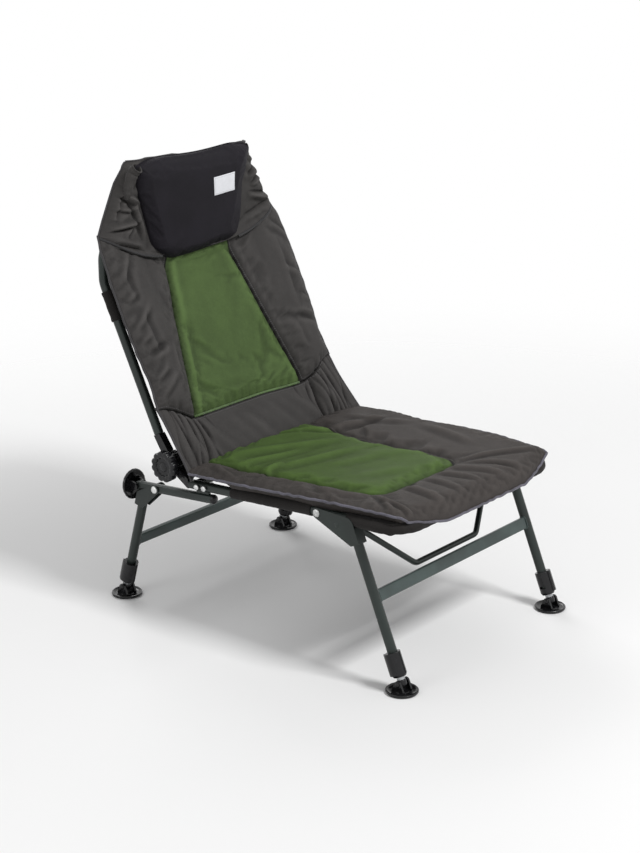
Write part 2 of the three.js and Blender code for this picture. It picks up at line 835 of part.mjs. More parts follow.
// The seat sling: a sheet on top of the rails, with a sleeve round each rail and round the bow,
// open beside the front brackets
function seatSling() {
  const low = tubeRadius + clearance;
  const edge = (lift) => [bowFront, frontPivot.y, slingRear]
    .map((y) => new THREE.Vector2(y, railHeight(y) + lift));
  const web = acrossX([...edge(low), ...edge(low + cloth).reverse()], -railX, railX);
  const trimmed = [-1, 1].flatMap((side) => [
    new THREE.BoxGeometry(bowCorner * cornerTrimShare, bowCorner * cornerTrimShare, tubeRadius * 6)
      .rotateZ(Math.PI / 4).translate(side * (railX + tubeRadius), bowFront - tubeRadius, bowHeight),
    box(
      new THREE.Vector3(side > 0 ? notchX : -railX - low, notchFront, railRearEnd.z),
      new THREE.Vector3(side > 0 ? railX + low : -notchX, sleeveFront, bowHeight + 2 * low)),
  ]);
  const bowRun = railX - bowCorner;
  const along = (side, from, to) => straight(alongRail(side * railX, from), alongRail(side * railX, to));
  const bowLine = (half) => straight(
    new THREE.Vector3(-half, bowFront, bowHeight), new THREE.Vector3(half, bowFront, bowHeight));
  const sleeves = [-1, 1].map((side) => rod(along(side, sleeveRear, sleeveFront), low + cloth));
  const bores = [-1, 1].map((side) => rod(
    along(side, slingRear + overrun, frontPivot.y), holeRadius(tubeRadius)));
  return cut(
    join(cut(web, ...trimmed), ...sleeves, rod(bowLine(bowRun), low + cloth)),
    ...bores, rod(bowLine(railX), holeRadius(tubeRadius)));
}

// The back sling: a sheet behind the back tubes, with a sleeve round each in its upper part
function backSling() {
  const low = tubeRadius + clearance;
  const rise = (height) => (height - backPoint(0).z) / Math.cos(backLean);
  const place = (height, lift) => {
    const point = backPoint(rise(height));
    return new THREE.Vector2(point.y - lift * Math.cos(backLean), point.z + lift * Math.sin(backLean));
  };
  const web = acrossX([
    place(backSlingLow, -low), place(backSlingHigh, -low),
    place(backSlingHigh, -low - cloth), place(backSlingLow, -low - cloth)].reverse(), -railX, railX);
  const tube = (side, from, to) => {
    const [a, b] = [backPoint(rise(from)), backPoint(rise(to))];
    return straight(new THREE.Vector3(side * railX, a.y, a.z), new THREE.Vector3(side * railX, b.y, b.z));
  };
  const sleeves = [-1, 1].map((side) => rod(tube(side, backSleeveLow, backSlingHigh), low + cloth));
  const bores = [-1, 1].map((side) => rod(
    tube(side, backSlingLow - tubeRadius, backKneeHeight), holeRadius(tubeRadius)));
  return cut(join(web, ...sleeves), ...bores);
}

// Closed pads: a front and a back sheet of points over the same grid, joined at the rim

function padGeometry(columns, rows, place) {
  const index = [];
  const points = [];
  const onRim = (i, j) => i === 0 || j === 0 || i === columns || j === rows;
  const ids = [new Map(), new Map()];
  for (let side = 0; side < 2; side += 1) {
    for (let j = 0; j <= rows; j += 1) {
      for (let i = 0; i <= columns; i += 1) {
        ids[side].set(j * (columns + 1) + i, points.length / 3);
        points.push(...place(2 * i / columns - 1, j / rows, side, onRim(i, j)));
      }
    }
  }
  const id = (side, i, j) => ids[side].get(j * (columns + 1) + i);
  for (let j = 0; j < rows; j += 1) {
    for (let i = 0; i < columns; i += 1) {
      index.push(id(0, i, j), id(0, i + 1, j), id(0, i + 1, j + 1));
      index.push(id(0, i, j), id(0, i + 1, j + 1), id(0, i, j + 1));
      index.push(id(1, i, j), id(1, i + 1, j + 1), id(1, i + 1, j));
      index.push(id(1, i, j), id(1, i, j + 1), id(1, i + 1, j + 1));
    }
  }
  const rim = [
    ...Array.from({ length: columns }, (_, i) => [i, 0]),
    ...Array.from({ length: rows }, (_, j) => [columns, j]),
    ...Array.from({ length: columns }, (_, i) => [columns - i, rows]),
    ...Array.from({ length: rows }, (_, j) => [0, rows - j]),
  ];
  rim.forEach(([i, j], k) => {
    const [nextI, nextJ] = rim[(k + 1) % rim.length];
    index.push(id(0, i, j), id(1, i, j), id(1, nextI, nextJ));
    index.push(id(0, i, j), id(1, nextI, nextJ), id(0, nextI, nextJ));
  });
  const geometry = new THREE.BufferGeometry();
  geometry.setAttribute('position', new THREE.Float32BufferAttribute(points, 3));
  geometry.setIndex(index);
  return geometry;
}

function lerp(a, b, share) {
  return a + (b - a) * share;
}

function smooth(low, high, value) {
  const share = Math.min(Math.max((value - low) / (high - low), 0), 1);
  return share * share * (3 - 2 * share);
}

// Rise of a stuffed pad over its flat back: full in the middle and drawn in at the rim
function crown(u, v) {
  const across = 1 - Math.abs(u) ** crownPower;
  const along = 1 - Math.abs(2 * v - 1) ** crownPower;
  return Math.sqrt(Math.max(across * along, 0));
}

// A sewn line: a narrow dip that fades away from the seam
function seamDip(distance) {
  return quiltDip * Math.exp(-((distance / quiltWidth) ** 2));
}

const seatHalf = railX + seatOverhang;
const seatRearHalf = railX + seatRearOverhang;
const seatCornerHalf = railX - seatCornerInset;
const backPadHalf = railX + backPadOverhang;
const backPadLowHalf = railX + backPadLowOverhang;
const backPadTopHalf = railX - backPadTopInset;

// Spreads a pad's grid so that a sewn seam lies on one of its lines: `line` is the
// line's share of the grid, `seam` the seam's place and `end` the place of the rim
function ontoSeam(share, line, seam, end) {
  return share < line ? lerp(0, seam, share / line) : lerp(seam, end, (share - line) / (1 - line));
}

function seatRearAt(u) {
  return lerp(seatRearMiddle, seatRear, Math.abs(u) ** seatRearPower);
}

const padBack = tubeRadius + clearance + cloth + clearance;

function seatPlace(column, v, side, rimPoint) {
  const ahead = lerp(seatCornerHalf, seatHalf, smooth(0, cornerShare, v));
  const half = lerp(ahead, seatRearHalf, smooth(flareShare, 1, v));
  const greenEdge = lerp(greenHalf, greenRearHalf, v);
  const x = Math.sign(column) * ontoSeam(Math.abs(column), panelColumnShare, greenEdge, half);
  const u = x / half;
  const past = Math.max(Math.abs(u) * seatCornerHalf - seatNoseHalf, 0);
  const front = lerp(seatNose, seatCorner, past / (seatCornerHalf - seatNoseHalf));
  const y = front + ontoSeam(v, panelRowShare, greenFront - front, seatRearAt(u) - front);
  const sling = railHeight(Math.max(y, bowFront)) + tubeRadius + cloth + 3 * clearance;
  const base = sling + seatLift * smooth(flareShare, 1, v);
  if (side === 1) return [x, y, base];
  const seam = seamDip(Math.abs(x) - greenEdge) * smooth(greenFront - quiltWidth, greenFront, y)
    + seamDip(y - greenFront) * (1 - smooth(greenEdge - quiltWidth, greenEdge, Math.abs(x)));
  const rise = rimPoint ? seatEdge : seatEdge + seatCrown * crown(u, v) - seam;
  return [x, y, base + Math.max(rise, seatEdge / 2)];
}

// The line that the back follows: the tube's lean below the knee, upright above it.
// Returns the point at an offset in front of the tube's centre line.
function onBack(height, offset) {
  const below = backKneeHeight - height;
  const root = Math.hypot(below, kneeSoftness);
  const y = backKneeY - Math.tan(backLean) * (below + root) / 2;
  const lean = Math.atan(Math.tan(backLean) * (1 + below / root) / 2);
  return { y: y - offset * Math.cos(lean), z: height + offset * Math.sin(lean) };
}

// A point of the back pad: its height along the straight rim line and its depth behind that line.
// Near the tubes it stays in front of the upright part by `ahead`.
function onPad(height, depth, ahead) {
  const y = backRim.y + (height - backRim.z) * Math.tan(backLean) + depth * Math.cos(backLean);
  return { y: Math.min(y, onBack(backShoulderHeight, ahead).y), z: height - depth * Math.sin(backLean) };
}

function lowSeam(u) {
  return backRim.z - backPadMiddleDrop * (1 - smooth(backPadLowShare, 1, Math.abs(u)));
}

function highSeam(u) {
  return backPadHigh - backPadTopDip * (1 - Math.abs(u) ** backPadTopPower);
}

// Depth of the pad's face: dished across the middle panel, with a bolster along each side
function faceDepth(u) {
  const across = Math.max((Math.abs(u) - backPadLowShare) / (1 - backPadLowShare), 0);
  return padDish * (1 - Math.abs(u) ** dishPower) - padBolster * 4 * across * (1 - across);
}

function backPlace(column, v, side, rimPoint) {
  const wide = lerp(backPadLowHalf, backPadHalf, smooth(0, flareShare, v));
  const half = lerp(wide, backPadTopHalf, smooth(flareShare, 1, v));
  const greenEdge = lerp(backGreenLowHalf, backGreenHighHalf, v);
  const u = Math.sign(column) * ontoSeam(Math.abs(column), panelColumnShare, greenEdge, half) / half;
  const height = lerp(lowSeam(u), highSeam(u), v);
  if (side === 0) {
    const seam = seamDip(Math.abs(u) * half - greenEdge);
    const depth = rimPoint ? faceDepth(u) : faceDepth(u) + seam;
    const point = onPad(height, depth, rimPoint ? -padRimBehind : padAhead);
    return [u * half, point.y, point.z];
  }
  const besideTube = smooth(...tubeSideShares, Math.abs(u));
  const wrap = smooth(backKneeHeight, backShoulderHeight, height);
  const edge = (1 - wrap) * Math.max(Math.abs(u) - padEdgeShare, 0) / (1 - padEdgeShare);
  const thick = lerp(lerp(padThickness + padDish, padThickness, besideTube), padEdge, edge);
  const low = onPad(height, thick, padBack);
  return [u * half, lerp(low.y, onBack(backTop, -padBehindTube).y, wrap), lerp(low.z, height, wrap)];
}

// The band of cover that crosses the fold between seat and back
function bandPlace(u, v, side) {
  const thickness = lerp(bandThickness, bandSideThickness, Math.abs(u) ** seatRearPower);
  const top = onPad(lowSeam(u) - seamGap, faceDepth(u) + (side === 1 ? thickness : seamGap), padBack);
  const rear = seatRearAt(u) + seamGap;
  const base = railHeight(seatRear) + padBack + seatLift;
  const low = side === 1 ? { y: rear + thickness, z: base } : { y: rear, z: base + seatEdge / 2 };
  const bulge = side === 1 ? 0 : bandBulge * Math.sin(Math.PI * v) * (1 - u ** bulgePower);
  return [
    u * lerp(seatRearHalf, backPadLowHalf, v),
    lerp(low.y, top.y, v) - bulge * Math.cos(backLean),
    lerp(low.z, top.z, v) + bulge * Math.sin(backLean),
  ];
}

function hoodPlace(u, v, side, rimPoint) {
  const height = lerp(highSeam(u) + seamGap, hoodTop - hoodTopDrop * u * u, v);
  const half = lerp(backPadTopHalf, hoodTopHalf, v);
  const thin = rimPoint ? hoodEdge : hoodEdge * (1 - crown(u, v));
  const point = onBack(height, side === 1 ? thin / 2 - hoodBehind : hoodFront - thin);
  return [u * half, point.y, point.z];
}

// A pad with the room for the back tube cut out of it
function roundHoop(pad) {
  return cut(pad, rod(hoopLine(), holeRadius(tubeRadius)));
}

function pillowPlace(u, v, side, rimPoint) {
  const height = lerp(pillowLow + pillowCornerDrop * u * u, pillowHigh - pillowCornerDrop * u * u, v);
  const half = lerp(pillowLowHalf, pillowTopHalf, v) + pillowWaist * Math.sin(Math.PI * v);
  const back = hoodFront + clearance;
  const swell = rimPoint ? 0 : (pillowThickness - pillowEdge) * crown(u, v);
  const point = onBack(height, side === 1 ? back : back + pillowEdge + swell);
  return [u * half, point.y, point.z];
}

// Assembly

const hands = [['right', -1], ['left', 1]];

function placed(mesh, x, y, z, turn = 0) {
  mesh.position.set(x, y, z);
  mesh.rotation.x = turn;
  return mesh;
}

function handed(base, finish, build) {
  return hands.map(([word, side]) => piece(`${base}_${word}`, build(side), finish));
}

function seatFrame() {
  const group = new THREE.Group();
  group.add(...handed('seat_rail', 'paint', rail));
  group.add(...handed('extension_tube', 'paint', extensionTube));
  group.add(...handed('extension_cap', 'plastic', endCap));
  group.add(...handed('hinge_lower_arm', 'plastic', lowerArm));
  group.add(piece('seat_front_bow', bow(), 'paint'));
  group.add(piece('rear_cross_tube', crossTube(), 'paint'));
  group.add(piece('seat_sling', seatSling(), 'cloth'));
  group.add(piece('seat_cushion', padGeometry(...seatGrid, seatPlace), 'pad'));
  hands.forEach(([word, side]) => {
    boltPlaces().forEach((place, i) => {
      const fastener = piece(`rail_bolt_${word}_${i + 1}`, bolt(), 'steel');
      group.add(placed(fastener, side * railX, place.y, place.z));
    });
    const tilt = Math.PI / 2 + Math.atan(extensionSlope);
    const stand = piece(`stand_foot_${word}`, foot(), 'plastic');
    group.add(placed(stand, side * railX, standPin.y, standPin.z, tilt));
  });
  return group;
}

function backFrame() {
  const group = new THREE.Group();
  group.add(...handed('hinge_upper_arm', 'plastic', upperArm));
  group.add(piece('back_hoop', hoop(), 'paint'));
  group.add(piece('back_sling', backSling(), 'cloth'));
  group.add(piece('back_cushion', roundHoop(padGeometry(...backGrid, backPlace)), 'pad'));
  group.add(piece('lumbar_band', padGeometry(...bandGrid, bandPlace), 'pad'));
  group.add(piece('head_hood', roundHoop(padGeometry(...hoodGrid, hoodPlace)), 'pad'));
  group.add(piece('head_pillow', padGeometry(...pillowGrid, pillowPlace), 'pillow'));
  hands.forEach(([word, side]) => {
    group.add(placed(piece(`recline_knob_${word}`, knob(side), 'plastic'), 0, hinge.y, hinge.z));
  });
  return group;
}

function legPair(pair) {
  const group = new THREE.Group();
  const eye = inLeg(pair.pivot, pair.pinY, pair.lean);
  const reach = legReach(pair.pinY, pair.lean, pair.heightAt);
  const blade = { ...pair.blade, brace: pair.braceEye && inLeg(pair.braceEye, pair.pinY, pair.lean) };
  hands.forEach(([word, side]) => {
    const where = `${pair.end}_${word}`;
    const leg = placed(new THREE.Group(), side * railX, pair.pinY, footHeight, -pair.lean);
    leg.add(piece(`leg_tube_${where}`, legTube(reach), 'paint'));
    leg.add(piece(`leg_bracket_${where}`, bracket(eye, blade, reach), 'paint'));
    leg.add(piece(`inner_leg_${where}`, innerLeg(), 'steel'));
    leg.add(piece(`leg_collar_${where}`, mirrorX(collar(), side), 'plastic'));
    leg.add(piece(`lock_lever_${where}`, mirrorX(lever(), side), 'plastic'));
    group.add(leg);
    group.add(placed(piece(`foot_${where}`, foot(), 'plastic'), side * railX, pair.pinY, footHeight));
    const fastener = piece(`pivot_rivet_${where}`, rivet(), 'steel');
    group.add(placed(fastener, side * railX, pair.pivot.y, pair.pivot.z));
  });
  const barY = pair.pinY + (pair.barHeight - footHeight) * Math.tan(pair.lean);
  const bar = piece(`${pair.end}_crossbar`, crossbar(), 'barPaint');
  group.add(placed(bar, 0, barY, pair.barHeight, -pair.lean));
  if (pair.braceEye) group.add(piece('front_brace', brace(barY, pair.barHeight), 'paint'));
  return group;
}

const frontPair = {
  end: 'front',
  pinY: 0,
  lean: frontLean,
  pivot: frontPivot,
  heightAt: railHeight,
  blade: { eye: frontEye, hump: frontHump, lift: frontHumpLift, webLow: frontWebLow },
  barHeight: frontCrossbarHeight,
  braceEye,
};

const rearPair = {
  end: 'rear',
  pinY: wheelbase,
  lean: -rearLean,
  pivot: { y: rearPivotY, z: extensionHeight(rearPivotY) },
  heightAt: extensionHeight,
  blade: { eye: rearEye, hump: 0, lift: 0, webLow: rearWebLow },
  barHeight: rearCrossbarHeight,
};

const chair = new THREE.Group();
chair.add(seatFrame(), backFrame(), legPair(frontPair), legPair(rearPair));

// The origin lies on the ground under the middle of the chair's outline
const outline = new THREE.Box3().setFromObject(chair);
const middle = outline.getCenter(new THREE.Vector3());
chair.position.set(-middle.x, -middle.y, -outline.min.z);
chair.updateMatrixWorld(true);

export default chair;
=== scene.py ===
"""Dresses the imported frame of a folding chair: padded cover, hood, head pillow, slings, tubes and fittings.

Sizes are in millimetres from the pins of the front feet, with +Z up, the sitter looking towards -Y and
+X on the sitter's left. A mesh is turned into metres of the shared frame when it is made.
"""

import json
import logging
import math
from dataclasses import dataclass, field
from enum import Enum
from typing import Any, Callable, Iterable, Optional, Sequence, Union

import bmesh
import bpy
import numpy as np
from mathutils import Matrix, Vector

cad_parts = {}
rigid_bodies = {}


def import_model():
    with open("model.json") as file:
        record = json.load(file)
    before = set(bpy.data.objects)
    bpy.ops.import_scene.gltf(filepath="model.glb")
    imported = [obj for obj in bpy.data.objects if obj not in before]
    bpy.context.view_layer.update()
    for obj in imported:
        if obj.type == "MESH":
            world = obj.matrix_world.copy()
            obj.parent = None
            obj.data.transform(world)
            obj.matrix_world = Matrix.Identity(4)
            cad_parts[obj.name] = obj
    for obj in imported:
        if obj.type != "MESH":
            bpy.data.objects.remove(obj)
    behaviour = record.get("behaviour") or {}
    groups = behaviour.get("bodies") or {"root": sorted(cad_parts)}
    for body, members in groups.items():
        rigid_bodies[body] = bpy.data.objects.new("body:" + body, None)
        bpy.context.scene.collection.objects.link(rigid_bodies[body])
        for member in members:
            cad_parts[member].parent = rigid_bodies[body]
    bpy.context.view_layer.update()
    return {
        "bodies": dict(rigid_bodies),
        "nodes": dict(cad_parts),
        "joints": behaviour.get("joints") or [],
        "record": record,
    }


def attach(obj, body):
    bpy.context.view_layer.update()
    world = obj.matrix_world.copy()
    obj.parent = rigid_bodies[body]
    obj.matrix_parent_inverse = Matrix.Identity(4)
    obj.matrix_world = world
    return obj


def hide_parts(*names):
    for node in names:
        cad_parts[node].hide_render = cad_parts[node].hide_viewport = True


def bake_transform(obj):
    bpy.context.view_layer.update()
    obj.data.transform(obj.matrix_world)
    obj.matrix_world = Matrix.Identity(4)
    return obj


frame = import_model()

Array = np.ndarray
Colour = tuple[float, float, float]
Rows = tuple[tuple[float, ...], ...]
Material = bpy.types.Material
Thing = bpy.types.Object
LOG = logging.getLogger("bank_chair")

MM = 0.001
ORIGIN_Y = 387.044

# Angles in degrees: past the first an edge stays sharp, and below the second two faces are one flat face
SHARP = 38.0
FLAT = 1.5
# Corners of a node that are nearer than this, in metres, are one corner
SAME_PLACE = 2e-5
# The mark "seam" of cloth that has no seam near it
NO_SEAM = 60.0


class Side(Enum):
    """Which side of the chair a piece is on, as the sitter sees it."""

    RIGHT = -1
    LEFT = 1

    @property
    def word(self) -> str:
        """The side's name, as the nodes spell it."""
        return self.name.lower()


class LegEnd(Enum):
    """Which pair of legs a piece belongs to, by its name in the nodes."""

    FRONT = "front"
    REAR = "rear"


# Whole-array helpers


def lerp(first: Any, second: Any, share: Any) -> Any:
    """A straight mix of two values by a share from 0 to 1."""
    return first + (second - first) * share


def ease(low: Any, high: Any, value: Any) -> Array:
    """The smooth step 3s² - 2s³ of the share s of value between low and high."""
    share = np.clip((np.asarray(value, float) - low) / (high - low), 0, 1)
    return share * share * (3 - 2 * share)


def bell(distance: Any, width: float) -> Array:
    """exp(-(distance / width)²), which is 1 at distance 0 and fades away on both sides."""
    return np.exp(-((np.asarray(distance, float) / width) ** 2))


def bells(distance: Any, rows: Rows) -> Array:
    """The sum of height · bell over rows of height and width."""
    return sum(height * bell(distance, width) for height, width in rows)


def filled(distance: Any, reach: float) -> Array:
    """1 - exp(-distance / reach), the way a stuffed edge rises from its seam."""
    return 1 - np.exp(-np.clip(distance, 0, None) / reach)


def vector(*parts: Any) -> Array:
    """Stacks x, y and z arrays, or numbers, into an array of points."""
    return np.stack(np.broadcast_arrays(*parts), -1).astype(float)


def unit(vectors: Array) -> Array:
    """Vectors scaled to length 1."""
    return vectors / np.linalg.norm(vectors, axis=-1, keepdims=True)


def ripple(along: Array, pitch: float, seed: int, terms: int = 5) -> Array:
    """An uneven wave: a sum of sines about one pitch apart, with seeded lengths and phases, from -1 to 1.

    Args:
        along: where the wave is read, in millimetres.
        pitch: the middle wavelength.
        seed: picks the lengths and phases.
        terms: how many sines are added.

    Returns:
        The wave's height, in the shape of along.
    """
    draw = np.random.default_rng(seed)
    lengths = pitch * draw.uniform(0.6, 1.7, terms)
    phases = draw.uniform(0, 2 * math.pi, terms)
    waves = np.sin(2 * math.pi * np.asarray(along)[..., None] / lengths + phases)
    return waves.sum(-1) / math.sqrt(terms) / 1.5


@dataclass
class Shape:
    """Corners and faces of one surface, with values kept on its corners."""

    points: Array
    faces: list[Array]
    marks: dict[str, Array] = field(default_factory=dict)

    def volume(self) -> float:
        """The signed volume: the sum over face fans of the triple product of their corners, over six."""
        total = 0.0
        for faces in self.faces:
            for k in range(1, faces.shape[1] - 1):
                a, b, c = (self.points[faces[:, i]] for i in (0, k, k + 1))
                total += float(np.einsum("ij,ij->", a, np.cross(b, c))) / 6
        return total

    def outward(self) -> "Shape":
        """The shape with its faces turned so that they look out of the closed body."""
        if self.volume() < 0:
            self.faces = [faces[:, ::-1] for faces in self.faces]
        return self

    @staticmethod
    def joined(shapes: Sequence["Shape"]) -> "Shape":
        """Several shapes as one, each left a body of its own."""
        starts = np.cumsum([0] + [len(s.points) for s in shapes])
        faces = [f + start for s, start in zip(shapes, starts) for f in s.faces]
        names = set.intersection(*[set(s.marks) for s in shapes])
        marks = {n: np.concatenate([s.marks[n] for s in shapes]) for n in names}
        return Shape(np.concatenate([s.points for s in shapes]), faces, marks)


def quads(rows: int, columns: int, ring: bool = False) -> Array:
    """Faces over a grid of rows × columns points, whose last column meets the first where it is a ring."""
    i, j = np.meshgrid(np.arange(rows - 1), np.arange(columns if ring else columns - 1), indexing="ij")
    beside = (j + 1) % columns
    corners = (i * columns + j, i * columns + beside, (i + 1) * columns + beside, (i + 1) * columns + j)
    return np.stack(corners, -1).reshape(-1, 4)


def ring_body(rings: Array) -> Shape:
    """A closed body over a stack of rings, each end shut by one face.

    Args:
        rings: points as an array of rings × sides × 3.

    Returns:
        The body, facing out.
    """
    count, sides = rings.shape[:2]
    ends = [np.arange(sides)[None, ::-1], (count - 1) * sides + np.arange(sides)[None]]
    return Shape(rings.reshape(-1, 3), [quads(count, sides, ring=True), *ends]).outward()


def frames_along(path: Array, up: Array) -> tuple[Array, Array]:
    """Two directions across a path at each of its points: side = up × tangent, and tangent × side."""
    tangent = unit(np.gradient(path, axis=0))
    side = unit(np.cross(up, tangent))
    return side, np.cross(tangent, side)


def circle(sides: int) -> Array:
    """Points of a unit circle, as sides × 2."""
    turn = np.arange(sides) * 2 * math.pi / sides
    return np.stack([np.cos(turn), np.sin(turn)], -1)


def swept(path: Array, section: Array, side: Array, top: Array, scale: Any = 1.0) -> Array:
    """A flat profile set at each point of a path: path + scale · (a · side + b · top) for its points (a, b).

    Args:
        path: the path's points, as n × 3.
        section: the profile, as m × 2.
        side: the first direction across the path, at each point.
        top: the second one.
        scale: one number, or one for each point of the path.

    Returns:
        The surface's points, as n × m × 3.
    """
    scale = np.broadcast_to(scale, len(path))[:, None, None]
    return path[:, None] + scale * (section[:, :1] * side[:, None] + section[:, 1:] * top[:, None])


def carried(path: Array, section: Array, up: Sequence[float], scale: Any = 1.0) -> Array:
    """The same, with the directions that frames_along gives for an up that is never along the path."""
    return swept(path, section, *frames_along(path, np.asarray(up, float)), scale)


def bent(corners: Sequence[Sequence[float]], radius: float, step: float = 6.0) -> Array:
    """A line through corners with each inner corner rounded by an arc.

    Each arc is centre + start · cos(t) - a · radius · sin(t), with its centre on the bisector of the two
    straights and a pointing back along the first of them.

    Args:
        corners: the line's corners.
        radius: the arcs' radius.
        step: the distance between points on an arc.

    Returns:
        The line's points, as n × 3.
    """
    points = np.asarray(corners, float)
    pieces = [points[:1]]
    for before, corner, after in zip(points, points[1:], points[2:]):
        a, b = unit(before - corner), unit(after - corner)
        half = math.acos(np.clip(a @ b, -1, 1)) / 2
        centre = corner + unit(a + b) * radius / math.sin(half)
        start = corner + a * radius / math.tan(half) - centre
        turn = math.pi - 2 * half
        angles = np.linspace(0, turn, max(3, int(turn * radius / step) + 2))[:, None]
        pieces.append(centre + start * np.cos(angles) - a * radius * np.sin(angles))
    pieces.append(points[-1:])
    line = np.concatenate(pieces)
    return line[np.r_[True, np.linalg.norm(np.diff(line, axis=0), axis=1) > 0.2]]


def spaced(path: Array, gap: float) -> Array:
    """The same line with extra points, so that none are further apart than the gap."""
    lengths = np.linalg.norm(np.diff(path, axis=0), axis=1)
    counts = np.maximum(1, np.ceil(lengths / gap).astype(int))
    where = np.concatenate([[0], np.cumsum(np.repeat(1 / counts, counts))])
    return np.stack([np.interp(where, np.arange(len(path)), path[:, k]) for k in range(3)], -1)


def travelled(path: Array) -> Array:
    """The distance from the start of a line to each of its points."""
    return np.concatenate([[0], np.cumsum(np.linalg.norm(np.diff(path, axis=0), axis=1))])


def tube(path: Array, radius: float, wall: float, up: Sequence[float], sides: int = 32) -> Shape:
    """A round tube along a path, with a broken edge at each mouth and a bore that ends a little way in.

    Args:
        path: the centre line.
        radius: the outer radius.
        wall: the wall's thickness.
        up: a direction that is never along the path.
        sides: faces round the tube.

    Returns:
        The closed body.
    """
    first, last = unit(path[1] - path[0]), unit(path[-2] - path[-1])
    lip, depth = wall / 3, 2 * radius
    head = [path[0] + first * depth, path[0] + first * lip, path[0], path[0], path[0] + first * lip]
    tail = [path[-1] + last * lip, path[-1], path[-1], path[-1] + last * lip, path[-1] + last * depth]
    radii = [radius - wall, radius - wall, radius - wall + lip, radius - lip]
    spread = np.concatenate([radii, np.full(len(path), radius), radii[::-1]])
    centres = np.concatenate([head, path[1:-1], tail])
    side, top = frames_along(path, np.asarray(up, float))
    pad = len(head) - 1
    side, top = (np.pad(d, ((pad, pad), (0, 0)), "edge") for d in (side, top))
    return ring_body(swept(centres, circle(sides), side, top, spread))


def turned(profile: Sequence[tuple[float, float]], at: Sequence[float], axis: Sequence[float],
           sides: int = 48, lobes: Optional[Callable[[Array], Array]] = None) -> Shape:
    """A profile of (radius, height) points turned about an axis: at + h · axis + r · (cos a, sin a) across it.

    Args:
        profile: the points, which start and end near the axis.
        at: where height 0 is.
        axis: the direction of growing height.
        sides: faces round the body.
        lobes: scales the radius by the angle, for a body that isn't round.

    Returns:
        The closed body.
    """
    radii, heights = np.asarray(profile, float).T
    along = unit(np.asarray(axis, float))
    across = unit(np.cross(along, (0, 0, 1) if abs(along[2]) < 0.9 else (1, 0, 0)))
    other = np.cross(along, across)
    round_ = circle(sides)
    reach = np.maximum(radii, 0.05)[:, None] * np.ones(sides)
    if lobes is not None:
        reach = lobes(np.arange(sides) * 2 * math.pi / sides)[None] * reach
    rings = np.asarray(at, float) + heights[:, None, None] * along + reach[..., None] * (
        round_[None, :, :1] * across + round_[None, :, 1:] * other)
    return ring_body(rings)


def plate(outline: Array, low: float, high: float) -> Shape:
    """An outline in the side plane, as n × (y, z), given a thickness from x = low to x = high."""
    rings = np.stack([vector(x, outline[:, 0], outline[:, 1]) for x in (low, high)])
    return ring_body(rings)


def hull_outline(discs: Sequence[tuple[float, float, float]], steps: int = 120) -> Array:
    """The outline stretched round some discs: in each direction, the furthest of the discs' points.

    Args:
        discs: (y, z, radius) of each.
        steps: how many directions are read.

    Returns:
        The outline, as n × 2.
    """
    rim = circle(steps)
    points = np.concatenate([np.array([y, z]) + r * rim for y, z, r in discs])
    best = np.argmax(points @ rim.T, axis=0)
    keep = np.r_[True, np.any(np.abs(np.diff(points[best], axis=0)) > 1e-6, axis=1)]
    return points[best][keep]


# The frame's lines


